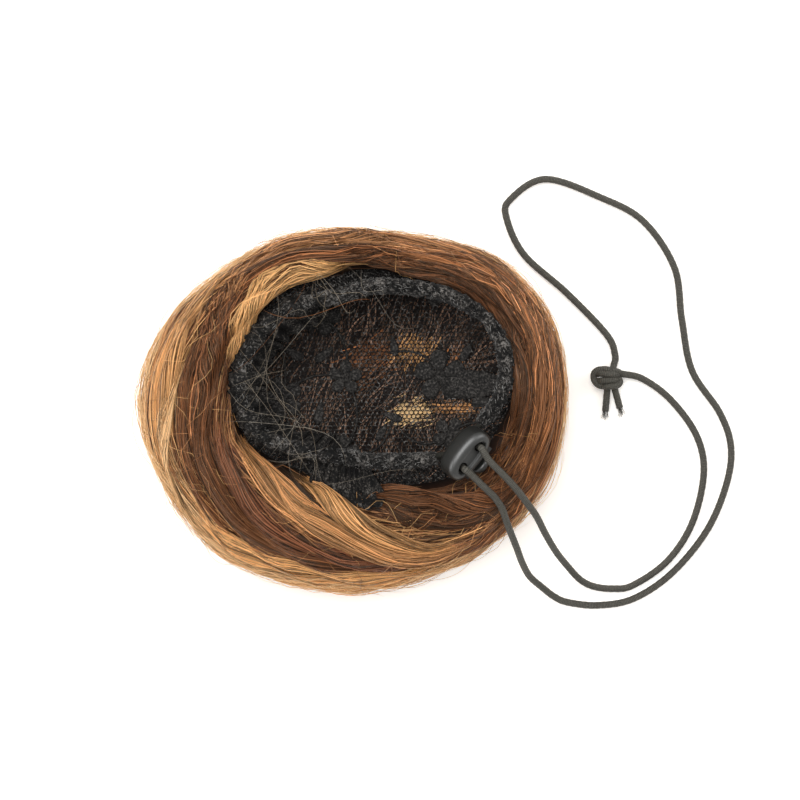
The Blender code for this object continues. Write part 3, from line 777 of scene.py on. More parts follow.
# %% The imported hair
def hair_base():
    shares = np.concatenate([np.arange(0.0, 1.0, 0.025), np.arange(1.0, 1.98, 0.07)])
    angles = np.arange(0, 360, 2.5)
    angle, share = np.meshgrid(angles, shares, indexing="ij")
    outer, _ = on_hair(angle, share, np.full(angle.shape, -0.7))
    outer[..., 2] = np.maximum(outer[..., 2], 0.3)
    lining = cap_outside(angles, 0.7)
    rows = np.concatenate([lining[:, ::-1], outer], 1)
    around, deep, _ = rows.shape
    points = rows.reshape(-1, 3)
    walls = grid_walls(around, deep, rows_close=True)[:, [0, 3, 2, 1]]
    crown = len(points)
    low = rows[:, 0].mean(0)
    foot = rows[:, -1].mean(0)
    points = np.vstack([points, low, foot])
    side = np.arange(around)
    after = (side + 1) % around
    fans = np.concatenate([
        np.stack([after * deep, side * deep, np.full(around, crown)], -1),
        np.stack([side * deep + deep - 1, after * deep + deep - 1, np.full(around, crown + 1)], -1),
    ])
    # The packed hair is darkened to 0.42 of the nearest lock's tone, and to dark umber inside the cap: painted shade
    # for hair lying deep under the strands.
    tint = nearest_tone(points) * 0.42
    lined = lining.shape[1]
    inside = np.zeros(len(points), bool)
    inside[: around * deep] = np.tile(np.arange(deep) < lined, around)
    inside[crown] = True
    tint[inside] = np.array(TONES["umber"]) * 0.8
    down = np.tile(np.concatenate([np.linspace(-2, 0, lined), np.zeros(lined)]), (around, 1))
    depth_uv = np.concatenate([down, share - swirl_start(angle)], 1)[:, :deep]
    uv = np.stack([np.repeat(angles / 360.0, deep), depth_uv.ravel()], 1)
    uv = np.vstack([uv, [0, 0], [0, 0]])
    return mesh_piece("hair_packed", points, [walls, fans], tint=tint, uv=uv)


CAP_OUTER = (
    # part of the rim radius, part of the lip radius, extra, height
    (1.00, 0.00, 0.0, 41.0), (0.50, 0.50, 0.2, 40.6), (0.00, 1.00, -1.4, 39.6),
    (0.00, 1.00, 1.6, 35.6), (0.00, 1.00, 3.0, 29.5), (0.00, 0.97, 1.8, 23.0),
    (0.00, 0.84, 0.6, 18.0), (0.00, 0.58, 0.0, 15.0), (0.00, 0.28, 0.0, 13.8), (0.0, 0.0, 0.0, 13.6),
)


def cap_profile(angle, count=46):
    """Radius and height down the lace cap, from its rim to its crown."""
    angle = np.atleast_1d(np.asarray(angle, float))
    rows = np.array([
        [rim_part * ring(RIM, angle) + lip_part * ring(LIP, angle) + extra, np.full(angle.shape, height)]
        for rim_part, lip_part, extra, height in CAP_OUTER
    ])
    near_top = np.clip((rows[:, 1] - 26.0) / 15.0, 0, 1)
    rows[:, 1] -= dip(angle)[None] * near_top
    rows = rows.transpose(2, 0, 1)
    fine = np.linspace(0, len(CAP_OUTER) - 1, count)
    low = np.minimum(fine.astype(int), len(CAP_OUTER) - 2)
    part = (fine - low)[None, :, None]
    line = rows[:, low] * (1 - part) + rows[:, low + 1] * part
    for _ in range(3):
        line[:, 1:-1] = 0.25 * line[:, :-2] + 0.5 * line[:, 1:-1] + 0.25 * line[:, 2:]
    return line


def cap_outside(angle, off):
    """Points down the cap, moved outwards by off, for each angle. The rim's own rows are left out."""
    line = cap_profile(angle)
    run = unit(np.gradient(line, axis=1))
    moved = line + np.stack([-run[..., 1], run[..., 0]], -1) * off
    flat = OPENING + moved[..., :1] * heading(np.atleast_1d(angle))[:, None]
    return np.concatenate([flat, moved[..., 1:]], -1)[:, 8:-1]


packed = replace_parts(hair_base(), "hair_bun")
print("packed hair triangles:", sum(len(face.vertices) - 2 for face in packed.data.polygons))

# %% [markdown]
# ## Strands
# Each strand is a thin closed tube with three sides, which looks round once its
# faces are shaded smoothly. Inside a lock the strands gather in small wisps, so
# the lock shows fine lines of light and shade as combed hair does. Every strand
# carries its own tone.

# %% Strands inside the named locks
STEPS = 15
STRAND_RADIUS = 0.13
BRIGHTEST = 0.90
# BACKLIT is a painted backlight glow: the pale golden tone of thin hair with light behind it.
BACKLIT = shade(252, 208, 152)
bags = {}


def keep(bag, paths, up, radius, tint):
    """Puts strands with the same number of points in one bag."""
    bags.setdefault(bag, []).append((paths, up, radius, tint))


def taper(count, steps=STEPS, thick=STRAND_RADIUS):
    """Radius along a strand: full for most of its run and fine at its ends."""
    along = np.linspace(0, 1, steps)[None]
    shape = np.clip(np.minimum(along / 0.06 + 0.45, (1 - along) / 0.22 + 0.15), 0, 1)
    return thick * dice.uniform(0.75, 1.25, (count, 1)) * shape


def held_in(tint):
    """Keeps a tone's hue where it would grow brighter than hair can be."""
    return tint * np.minimum(1.0, BRIGHTEST / np.maximum(tint.max(-1, keepdims=True), 1e-6))


def any_tone(names, count):
    """A tone drawn from the named ones for each of many strands."""
    return np.array([TONES[name] for name in dice.choice(names, count)])


def varied(tone, count, steps=STEPS, spread=0.44):
    """Tones for strands: each a little lighter or darker than its neighbours."""
    tone = np.broadcast_to(np.asarray(tone), (count, 3))
    light = np.exp(dice.normal(0, spread, (count, 1)))
    warm = 1 + dice.normal(0, 0.05, (count, 1)) * np.array([[-0.4, 0.2, 1.0]])
    along = 1 + 0.12 * np.linspace(-1, 1, steps)[None, :, None]
    return held_in((tone * light * warm)[:, None] * along)


def painted_backlight_glow(tint, share):
    """Paints a backlight glow: near the outline the tone turns paler and more golden, as thin hair does with light
    coming through it.
    """
    thin = np.clip((share - 0.88) / 0.10, 0, 1) * np.clip((1.12 - share) / 0.12, 0, 1)
    pale = tint + (np.array(BACKLIT) - tint) * 0.50
    return held_in(tint + (pale - tint) * thin[..., None])


def lock_strands(name, tone, count, half_width, lift, thick, route):
    where = even_route(route, 120)
    wisps = max(5, count // 10)
    wisp = dice.integers(0, wisps, count)
    wisp_place = np.sort(dice.uniform(-1, 1, wisps))
    across = np.clip(wisp_place[wisp] + dice.normal(0, 0.10, count), -1.15, 1.15)[:, None]
    depth = dice.uniform(0, 1, count)[:, None]
    start = dice.uniform(0.0, 0.16, count)[:, None]
    end = dice.uniform(0.78, 1.0, count)[:, None]
    at = start + (end - start) * np.linspace(0, 1, STEPS)[None]
    angle = np.interp(at, np.linspace(0, 1, 120), where[:, 0])
    share = np.interp(at, np.linspace(0, 1, 120), where[:, 1])
    swing = dice.uniform(0, 2 * np.pi, wisps)[wisp][:, None]
    wave = 0.07 * np.sin(at * 4.0 + swing) + 0.025 * np.sin(at * 9.0 + 2 * swing + across)
    cross = dice.normal(0, 0.32, (count, 1)) * (at - 0.5)
    width = half_width * (0.62 + 0.38 * np.sin(np.pi * np.clip(at, 0, 1)))
    share = share + (across + wave + cross) * width / read_grid(grid_stretch, angle, share)
    round_top = np.sqrt(np.clip(1.3 - across**2, 0.05, None))
    height = lift + thick * (depth * round_top - 0.35) + 0.10 * np.sin(at * 6 + swing)
    height = height * np.clip(np.sin(np.pi * np.clip(at, 0.02, 0.98)) * 2.2, 0.15, 1)
    paths, up = on_hair(angle, share, height)
    wisp_light = np.exp(dice.normal(0, 0.22, wisps))[wisp][:, None]
    own = np.tile(TONES[tone], (count, 1)) * wisp_light
    depth_of_tone = min(1.0, max(TONES[tone]) / 0.6)
    dark = dice.uniform(0, 1, count) < 0.30 - 0.08 * depth_of_tone
    own[dark] *= 0.28
    bright = dice.uniform(0, 1, count) < 0.16 - 0.09 * depth_of_tone
    own[bright] *= 2.0
    spread = 0.60 - 0.32 * depth_of_tone
    keep("locks", paths, up, taper(count), painted_backlight_glow(varied(own, count, spread=spread), share))


for lock in LOCKS:
    lock_strands(*lock)

# %% Strands between the locks
def field_slope(angle):
    turn = (angle - SWIRL_FROM) % 360.0
    return np.where(turn < FIRST_BEND, SLOW_SLOPE, np.where(turn < LAST_BEND, FAST_SLOPE, -0.0047))


LOOSE_STEPS = 12


def loose_strands(count, low, high, lift):
    """Strands that follow the swirl from random places on the hair."""
    angle0 = dice.uniform(0, 360, count)[:, None]
    share0 = dice.uniform(low, high, count)[:, None]
    length = dice.uniform(40.0, 95.0, count)[:, None]
    part = np.linspace(-0.5, 0.5, LOOSE_STEPS)[None]
    angle = angle0 + part * length
    flat = np.clip((1.15 - share0) / 0.4, 0.12, 1)
    slope = field_slope(angle0) * dice.uniform(0.15, 1.15, (count, 1)) * flat
    bend = dice.normal(0, 0.025, (count, 1)) * (part * 2) ** 2
    share = np.clip(share0 + slope * (angle - angle0) + bend, 0.01, 1.7)
    height = dice.uniform(*lift, (count, 1)) + 0.2 * np.sin(part * 14 + angle0)
    paths, up = on_hair(angle, share, height)
    middle = read_grid(grid_points, angle0[:, 0], share0[:, 0])
    tone = nearest_tone(middle)
    stray = dice.uniform(0, 1, count) < 0.28
    tone[stray] = any_tone(["umber", "brown", "auburn", "copper"], stray.sum())
    radius = taper(count, LOOSE_STEPS)
    keep("loose", paths, up, radius, painted_backlight_glow(varied(tone, count, LOOSE_STEPS), share))


loose_strands(1350, 0.03, 0.75, (-0.4, 0.9))
loose_strands(1100, 0.70, 1.15, (-0.4, 0.9))
loose_strands(330, 1.10, 1.60, (-0.4, 0.3))

# %% [markdown]
# ## Flyaways
# A real hairpiece is never neat. Fine hairs stand off its outline, and a few
# cross the lace. They are thinner than the rest, and without them the outline
# would look cut out.

# %% Flyaways and stray hairs
FINE_STEPS = 11


def keep_fine(paths, up, thick, tone, spread=0.44):
    """Puts fine hairs of a given thickness and tone in the flyaways' bag."""
    count = len(paths)
    keep("flyaways", paths, up, taper(count, FINE_STEPS, thick), varied(tone, count, FINE_STEPS, spread))


def flyaways(count):
    angle0 = dice.uniform(0, 360, count)[:, None]
    length = dice.uniform(12, 48, count)[:, None]
    way = np.where(dice.uniform(0, 1, (count, 1)) < 0.7, 1.0, -1.0)
    part = np.linspace(0, 1, FINE_STEPS)[None]
    angle = angle0 + way * part * length
    share = dice.uniform(0.80, 1.05, (count, 1)) + dice.normal(0, 0.06, (count, 1)) * part
    peak = dice.uniform(0.8, 4.6, (count, 1))
    loop = dice.uniform(0, 1, (count, 1)) < 0.55
    height = np.where(loop, peak * np.sin(np.pi * part), peak * part**1.6) + 0.3
    paths, up = on_hair(angle, share, height)
    # Six in ten flyaways take the painted backlight glow tone, and the rest are copper.
    tone = np.where(dice.uniform(0, 1, (count, 1)) < 0.6, [BACKLIT], [TONES["copper"]])
    keep_fine(paths, up, 0.07, tone)


def fringe(count):
    """Thin hairs round the widest line in the painted backlight glow tone, which paint a glow along the outline."""
    angle0 = dice.uniform(0, 360, count)[:, None]
    part = np.linspace(-0.5, 0.5, FINE_STEPS)[None]
    angle = angle0 + part * dice.uniform(16, 44, (count, 1))
    share = dice.uniform(0.88, 1.02, (count, 1)) + dice.normal(0, 0.05, (count, 1)) * part
    off = dice.uniform(0.0, 1.0, (count, 1)) ** 1.5 * 1.9
    paths, up = on_hair(angle, share, off + 0.7 + 0.35 * np.sin(part * 8 + angle0))
    keep_fine(paths, up, 0.10, BACKLIT, 0.16)


def strays_on_lace(count):
    """Curved hairs that have slipped over the left of the rim and lie across the lace."""

    def over_lace(angle, least, most):
        return OPENING + (ring(LIP, angle) * dice.uniform(least, most, count))[:, None] * heading(angle)

    angle0 = dice.uniform(95, 262, count)
    sweep = dice.uniform(-70, 70, count)
    part = np.linspace(0, 1, FINE_STEPS)[None]
    first = over_lace(angle0, 0.92, 1.05)
    last = over_lace(angle0 + sweep, 0.55, 1.0)
    pull = over_lace(angle0 + sweep / 2, 0.35, 0.85)
    flat = bowed(first[:, None], pull[:, None], last[:, None], part[..., None])
    sway = dice.normal(0, 2.2, (count, 1)) * np.sin(np.pi * part * dice.choice([2.0, 3.0], (count, 1)))
    flat = flat + sway[..., None] * np.array([0.6, 0.8])
    bow = dice.uniform(0.3, 2.6, (count, 1)) * np.sin(np.pi * part)
    height = 47.6 + bow + dice.uniform(0, 1.0, (count, 1))
    paths = np.concatenate([flat, height[..., None]], -1)
    up = np.tile([0.0, 0.0, 1.0], (*flat.shape[:2], 1))
    tone = np.where(dice.uniform(0, 1, (count, 1)) < 0.9, [shade(126, 117, 104)], [TONES["auburn"]])
    keep_fine(paths, up, 0.042, tone, 0.25)


def crossing_hairs(count):
    """Single fine hairs that wander across the swirl."""
    angle0 = dice.uniform(0, 360, count)[:, None]
    share0 = dice.uniform(0.10, 0.80, count)[:, None]
    part = np.linspace(0, 1, FINE_STEPS)[None]
    angle = angle0 + dice.uniform(-38, 38, (count, 1)) * part
    drift = dice.normal(0, 0.34, (count, 1)) * part + 0.12 * np.sin(part * 4 + angle0)
    share = np.clip(share0 + drift, 0.0, 1.1)
    height = dice.uniform(1.2, 2.8, (count, 1)) + 0.5 * np.sin(part * 5 + share0 * 9)
    paths, up = on_hair(angle, share, height)
    keep_fine(paths, up, 0.055, any_tone(["honey", "copper", "auburn"], count))


flyaways(210)
fringe(420)
strays_on_lace(30)
crossing_hairs(130)

# %% Bind the strands into pieces
PIECE_LIMIT = 180000


def bind(name, bag):
    sides = 3
    paths, up, radius, tint = map(np.concatenate, zip(*bags[bag]))
    order = dice.permutation(len(paths))
    per_strand = 2 * sides * (paths.shape[1] - 1) + 2 * (sides - 2)
    share = PIECE_LIMIT // per_strand
    pieces = []
    for number, start in enumerate(range(0, len(paths), share)):
        chosen = order[start : start + share]
        points, faces = tubes(paths[chosen], radius[chosen], up[chosen])
        points[:, 2] = np.maximum(points[:, 2], 0.05)
        tints = np.repeat(tint[chosen].reshape(-1, 3), sides, axis=0)
        pieces.append(mesh_piece(f"{name}_{number + 1}", points, faces, tint=tints))
    print(name, len(paths), "strands", len(paths) * per_strand, "triangles")
    return pieces


strand_pieces = bind("hair_locks", "locks") + bind("hair_loose", "loose") + bind("hair_flyaways", "flyaways")

# %% Finish of the hair
GOLDEN_SHINE = (1.0, 0.80, 0.60, 1.0)
strand_finish = Finish("hair_strand", 0.38, Specular_IOR_Level=0.5, Specular_Tint=GOLDEN_SHINE)
strand_finish.colour(strand_finish.node("ShaderNodeAttribute", {"attribute_name": "tint"}))
strand_finish.dress(*strand_pieces)

packed_finish = Finish("hair_packed_fibre", 0.5, Specular_IOR_Level=0.4)
own = packed_finish.node("ShaderNodeAttribute", {"attribute_name": "tint"})
fine = packed_finish.noise(packed_finish.along((2.0, 90.0, 1.0)), 4.0, 4.0)
packed_finish.colour(packed_finish.blend(fine, (0.0, 0.0, 0.0), own))
packed_finish.bump(fine, 0.8, 0.0006)
packed_finish.dress(packed)

# %% [markdown]
# ## The lace cap
# The cap is black net with flowers worked into it. The net is a mesh of small
# six-sided holes, and hair shows through them, so the holes are real. The net
# is laid out flat round the crown and then wrapped on the cap. Near the rim the
# same cloth has to fit a smaller round, so the holes crowd together there, just
# as gathered net does.

# %% Wrap flat net on the cap
WRAP_STEP = 2.0
WRAP_ANGLES = np.arange(0, 360, WRAP_STEP)
wrap_lines = cap_profile(WRAP_ANGLES, 80)[:, ::-1]
wrap_gaps = np.linalg.norm(np.diff(wrap_lines, axis=1), axis=-1)
wrap_run = np.concatenate([np.zeros((len(WRAP_ANGLES), 1)), np.cumsum(wrap_gaps, axis=1)], 1)
WRAP_LAST = wrap_lines.shape[1] - 1


def on_cap(flat, off=-0.5):
    """Wraps flat points, measured from the crown, on the cap."""
    angle = np.degrees(np.arctan2(flat[:, 1], flat[:, 0])) % 360.0
    run = np.hypot(flat[:, 0], flat[:, 1])
    place = angle / WRAP_STEP
    left = place.astype(int) % len(WRAP_ANGLES)
    right = (left + 1) % len(WRAP_ANGLES)
    blend = (place - place.astype(int))[:, None]
    found = []
    for side in (left, right):
        low = (np.clip(run / wrap_run[side, -1], 0, 1) * (WRAP_LAST - 0.001)).astype(int)
        for _ in range(3):
            ahead = (run - wrap_run[side, low]) / np.maximum(wrap_gaps[side, low], 1e-6)
            low = np.clip(low + np.floor(ahead).astype(int), 0, WRAP_LAST - 1)
        step = np.maximum(wrap_gaps[side, low], 1e-6)
        share = np.clip((run - wrap_run[side, low]) / step, 0, 1)[:, None]
        here = wrap_lines[side, low]
        after = wrap_lines[side, low + 1]
        way = unit(after - here)
        line = here * (1 - share) + after * share
        found.append(line + np.stack([way[:, 1], -way[:, 0]], -1) * off)
    line = found[0] * (1 - blend) + found[1] * blend
    level = OPENING + line[:, :1] * heading(angle)
    return np.concatenate([level, line[:, 1:]], 1)


def rim_run(angle):
    """Distance over the cloth from the crown to the rim."""
    ends = np.append(wrap_run[:, -1], wrap_run[0, -1])
    return np.interp(np.asarray(angle) % 360.0, np.append(WRAP_ANGLES, 360.0), ends)


# %% The net
NET_PITCH = 1.6
NET_RADIUS = 0.20


def pleats(flat):
    """How far the gathered cloth stands off the cap: it folds where it nears the rim."""
    angle = np.arctan2(flat[:, 1], flat[:, 0])
    near_rim = np.clip(np.hypot(flat[:, 0], flat[:, 1]) / rim_run(np.degrees(angle)), 0, 1)
    fold = np.sin(angle * 27 + 2.0 * np.sin(angle * 5) + near_rim * 3.0)
    small = np.sin(angle * 61 + 3.0 * np.sin(angle * 7))
    depth = np.clip((near_rim - 0.50) / 0.35, 0, 1) * np.clip((1.0 - near_rim) / 0.10, 0, 1)
    return (-0.5 - depth * (0.9 + 0.8 * fold + 0.35 * small))[:, None]


def net():
    side = NET_PITCH / math.sqrt(3)
    reach = int(80 / NET_PITCH)
    rows, cols = np.meshgrid(np.arange(-reach - 8, reach + 8), np.arange(-reach, reach), indexing="ij")
    base_x = (cols + 0.5 * (rows % 2)) * NET_PITCH
    base_y = rows * side * 1.5
    starts, ends = [], []
    for turn in (90.0, 210.0, 330.0):
        way = np.array([math.cos(math.radians(turn)), math.sin(math.radians(turn))]) * side
        starts.append(np.stack([base_x, base_y], -1).reshape(-1, 2))
        ends.append(starts[-1] + way)
    start = np.concatenate(starts)
    end = np.concatenate(ends)
    middle = (start + end) / 2
    run = np.hypot(middle[:, 0], middle[:, 1])
    angle = np.degrees(np.arctan2(middle[:, 1], middle[:, 0]))
    kept = run < rim_run(angle) - 0.4
    start, end = start[kept], end[kept]
    stretch = (end - start) * 0.06
    first, last = start - stretch, end + stretch
    paths = np.stack([on_cap(first, pleats(first)), on_cap(last, pleats(last))], 1)
    radius = NET_RADIUS * dice.uniform(0.75, 1.25, (len(paths), 1)) * np.ones((1, 2))
    up = np.tile([0.31, 0.17, 1.0], (len(paths), 2, 1))
    points, faces = tubes(paths, radius, up)
    print("net threads:", len(paths))
    return mesh_piece("lace_net", points, faces)


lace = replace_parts(net(), "lace_cap")

# %% [markdown]
# ## Flowers in the lace
# The motifs are solid patches of thread on the net: round petals, pointed
# leaves and stems. Each is a flat outline that is given a thin wall and wrapped
# on the cap like the net. The sprays are laid out in an open pattern.

# %% Petals, leaves and stems
MOTIFS = (
    # kind, distance from the crown, angle round it, turn, size
    ("flower", 24.0, 6.0, 20.0, 9.6), ("flower", 33.0, -34.0, 60.0, 6.6),
    ("flower", 30.0, 128.0, 0.0, 7.4), ("flower", 33.0, 190.0, 35.0, 8.2),
    ("flower", 28.0, 246.0, 10.0, 7.2), ("flower", 48.0, 92.0, 45.0, 7.0),
    ("flower", 10.0, 170.0, 15.0, 6.4), ("flower", 50.0, 152.0, 5.0, 8.0),
    ("flower", 55.0, 215.0, 25.0, 8.0), ("flower", 56.0, 20.0, 50.0, 7.6),
    ("flower", 54.0, 318.0, 30.0, 7.0), ("flower", 49.0, 275.0, 12.0, 7.0),
    ("leaf", 37.0, -1.0, 0.0, 21.0), ("leaf", 15.0, 60.0, 100.0, 6.0), ("leaf", 35.0, 18.0, 60.0, 6.0), ("leaf", 38.0, 52.0, 30.0, 6.0),
    ("leaf", 40.0, -10.0, 10.0, 7.0), ("leaf", 14.0, -60.0, 160.0, 6.0), ("leaf", 22.0, 210.0, 80.0, 6.6),
    ("leaf", 20.0, 150.0, 40.0, 6.6), ("leaf", 40.0, 108.0, 150.0, 6.6), ("leaf", 42.0, 170.0, 110.0, 7.0),
    ("leaf", 44.0, 206.0, 60.0, 7.0), ("leaf", 40.0, 232.0, 20.0, 6.6), ("leaf", 62.0, 182.0, 90.0, 7.0),
    ("leaf", 60.0, 240.0, 10.0, 7.0), ("leaf", 36.0, 290.0, 100.0, 6.0), ("leaf", 60.0, 124.0, 30.0, 7.0),
    ("leaf", 18.0, 280.0, 60.0, 5.6), ("leaf", 58.0, 60.0, 0.0, 6.6), ("leaf", 44.0, -60.0, 30.0, 6.0),
    ("leaf", 50.0, 185.0, 140.0, 7.6), ("leaf", 30.0, 160.0, 150.0, 6.6), ("leaf", 57.0, 136.0, 120.0, 6.6),
)
STEMS = (
    # from and to: distance and angle, then how far the middle bows
    (24, 6, 50, -9, 3), (24, 6, 12, 60, -4), (33, -34, 20, -60, 4), (33, -34, 48, -20, 3), (30, 128, 10, 170, 4),
    (30, 128, 48, 92, -5), (33, 190, 10, 170, 4), (33, 190, 50, 152, -6), (28, 246, 33, 190, 6), (28, 246, 49, 275, 5),
    (33, 190, 55, 215, 5), (50, 152, 60, 124, 4), (56, 20, 58, 60, 5), (28, 246, 14, -60, -6), (10, 170, 28, 246, 5),
)


def outline_of(kind, size):
    """Flat outlines of one motif: each a closed ring of points."""
    turns = np.linspace(0, 2 * np.pi, 14, endpoint=False)
    if kind == "leaf":
        x = np.cos(turns) * size * 0.62
        y = np.sin(turns) * size * 0.24 * (1 - 0.35 * np.cos(turns))
        return [np.stack([x, y], 1)]
    shapes = []
    for petal in range(5):
        way = 2 * np.pi * petal / 5
        x = size * (0.55 + 0.42 * np.cos(turns))
        y = size * 0.33 * np.sin(turns) * (1 + 0.30 * np.cos(turns))
        shapes.append(np.stack([x * math.cos(way) - y * math.sin(way), x * math.sin(way) + y * math.cos(way)], 1))
    shapes.append(np.stack([np.cos(turns), np.sin(turns)], 1) * size * 0.24)
    return shapes


def motifs():
    points, walls, fans = [], [], []
    for kind, distance, angle, turn, size in MOTIFS:
        middle = distance * heading(np.array(angle))
        cos, sin = math.cos(math.radians(turn)), math.sin(math.radians(turn))
        for outline in outline_of(kind, size):
            flat = np.stack([outline[:, 0] * cos - outline[:, 1] * sin, outline[:, 0] * sin + outline[:, 1] * cos], 1)
            flat = np.vstack([flat, flat.mean(0), flat.mean(0) + (flat - flat.mean(0)) * 0.55]) + middle
            limit = rim_run(np.degrees(np.arctan2(flat[:, 1], flat[:, 0]))) - 1.0
            run = np.hypot(flat[:, 0], flat[:, 1])
            flat = flat * np.minimum(1, limit / np.maximum(run, 1e-6))[:, None]
            top = on_cap(flat, -0.95)
            low = on_cap(flat, -0.40)
            start = sum(len(part) for part in points)
            points += [top, low]
            n = len(outline)
            side = np.arange(n)
            after = (side + 1) % n
            inner = n + 1
            for level, flip in ((0, False), (len(top), True)):
                band = np.stack([side, after, inner + after, inner + side], 1) + start + level
                fan = np.stack([inner + side, inner + after, np.full(n, n)], 1) + start + level
                walls.append(band[:, ::-1] if flip else band)
                fans.append(fan[:, ::-1] if flip else fan)
            walls.append(np.stack([after, side, side + len(top), after + len(top)], 1) + start)
    return mesh_piece("lace_flowers", np.vstack(points), [np.concatenate(walls), np.concatenate(fans)])


def stems():
    paths = []
    for near, near_angle, far, far_angle, bow in STEMS:
        first = near * heading(np.array(float(near_angle)))
        last = far * heading(np.array(float(far_angle)))
        side = np.array([-(last - first)[1], (last - first)[0]])
        pull = (first + last) / 2 + unit(side) * bow * 2
        part = np.linspace(0, 1, 15)[:, None]
        paths.append(on_cap(bowed(first, pull, last, part), -0.8))
    paths = np.array(paths)
    points, faces = tubes(paths, np.full(paths.shape[:2], 0.42), np.tile([0.2, 0.1, 1.0], (*paths.shape[:2], 1)), 5)
    return mesh_piece("lace_stems", points, faces)


flowers = motifs()
stem_threads = stems()

# %% Finish of the lace
# The dark end of the ramp is the black thread's own colour; its grey light end is painted glints on the thread.
thread = flecked(
    "black_lace_thread", 0.75, 0.25, (900.0, 3.0),
    ((0.42, (16, 16, 16)), (0.54, (52, 50, 48)), (0.66, (124, 121, 117))), (0.5, 0.0002),
)
thread.dress(lace)
worked = flecked(
    "worked_lace_thread", 0.8, 0.2, (1300.0, 3.0, 0.7),
    ((0.38, (15, 15, 15)), (0.52, (40, 38, 36)), (0.68, (82, 79, 76))), (0.8, 0.0003),
)
worked.dress(flowers, stem_threads)
# The gathered lace gets broad patches of painted shade between its pleats.
gathered = flecked(
    "gathered_lace", 0.8, 0.2, (1200.0, 3.0, 0.75),
    ((0.44, (5, 5, 5)), (0.54, (24, 22, 20)), (0.66, (94, 90, 85))), (0.8, 0.0003), darker=0.08,
)

# %% [markdown]
# ## Hair seen through the net
# The inside of the cap lets the hair behind it show: mostly dark brown, with
# golden patches where a light lock lies against the net. Short strands laid
# just outside the net give this depth.

# %% Hair behind the net
GLOW = (
    # x and y from the crown, half width, half height, turn, tone, strands, way of the hair
    (14.5, 11.5, 9.0, 4.4, 10.0, "caramel", 120, 60.0), (29.5, 9.5, 4.6, 4.4, 0.0, "auburn", 50, 70.0),
    (13.5, -11.0, 7.0, 4.6, 15.0, "blond", 170, 20.0), (30.0, -9.0, 8.0, 2.6, 0.0, "bronze", 70, 5.0),
    (-18.7, -21.0, 3.0, 2.0, 20.0, "honey", 40, 150.0), (0.0, 9.0, 12.0, 8.0, 20.0, "brown", 120, 30.0),
)


def cap_strands(middle, way, length, tone, name):
    """Strands laid just outside the net, each with its middle, its way and its length."""
    count = len(middle)
    part = np.linspace(-0.5, 0.5, 7)[None]
    turn = np.radians(way)[:, None] + dice.normal(0, 0.25, (count, 1)) * part * 2
    flat = middle[:, None] + np.stack([np.cos(turn), np.sin(turn)], -1) * (part * length[:, None])[..., None]
    run = np.hypot(flat[..., 0], flat[..., 1])
    limit = rim_run(np.degrees(np.arctan2(flat[..., 1], flat[..., 0]))) - 9.0
    flat = flat * np.minimum(1, limit / np.maximum(run, 1e-6))[..., None]
    off = np.repeat(dice.uniform(0.12, 0.50, count), 7)
    paths = on_cap(flat.reshape(-1, 2), off[:, None]).reshape(count, 7, 3)
    points, faces = tubes(paths, taper(count, 7, 0.20), np.tile([0.1, 0.2, 1.0], (count, 7, 1)))
    tints = np.repeat(varied(tone, count, 7, 0.70).reshape(-1, 3), 3, axis=0)
    return mesh_piece(name, points, faces, tint=tints)


def lining_hair(count):
    angle = dice.uniform(0, 360, count)
    run = 60 * np.sqrt(dice.uniform(0, 1, count))
    # Near the rim at the top no strands are laid, so the lace stays dark there: painted shade under the casing.
    outside_painted_shade = run < 60 - 30 * np.exp(-(((angle - 82.0) / 48.0) ** 4))
    angle, run = angle[outside_painted_shade], run[outside_painted_shade]
    count = len(run)
    middle = [run[:, None] * heading(angle)]
    way = [35 + 40 * np.sin(run / 14) + dice.normal(0, 14, count)]
    length = [dice.uniform(10, 24, count)]
    tone = [np.tile(shade(100, 78, 65), (count, 1))]
    for x, y, half_width, half_height, turn, name, strands, direction in GLOW:
        spot = dice.normal(0, 0.45, (strands, 2)) * [half_width, half_height]
        cos, sin = math.cos(math.radians(turn)), math.sin(math.radians(turn))
        middle.append(np.stack([x + spot[:, 0] * cos - spot[:, 1] * sin, y + spot[:, 0] * sin + spot[:, 1] * cos], 1))
        way.append(direction + dice.normal(0, 9, strands))
        length.append(dice.uniform(0.5, 1.1, strands) * half_width)
        tone.append(np.tile(TONES[name], (strands, 1)))
    return cap_strands(*(np.concatenate(part) for part in (middle, way, length, tone)), "hair_behind_net")


lining = lining_hair(1250)
strand_finish.dress(lining)

# %% [markdown]
# ## The gathered casing
# The rim is a folded tape that the cord runs through. The cord draws it up, so
# it puckers all the way round, and its knitted face is fuzzy. A tube with small
# waves gives the puckers, and short curled fibres stand off it.

# %% The puckered tape
CASING_START = -21.5
CASING_END = 310.5
TAPE_NARROW = 0.80
RIM_HEIGHT = 45.0
CORD_TUNNEL = 1.6


def rim_line(angles):
    """Points on the rim's middle line."""
    flat = OPENING + ring(RIM, angles)[:, None] * heading(angles)
    return np.concatenate([flat, np.full((len(angles), 1), RIM_HEIGHT)], 1)


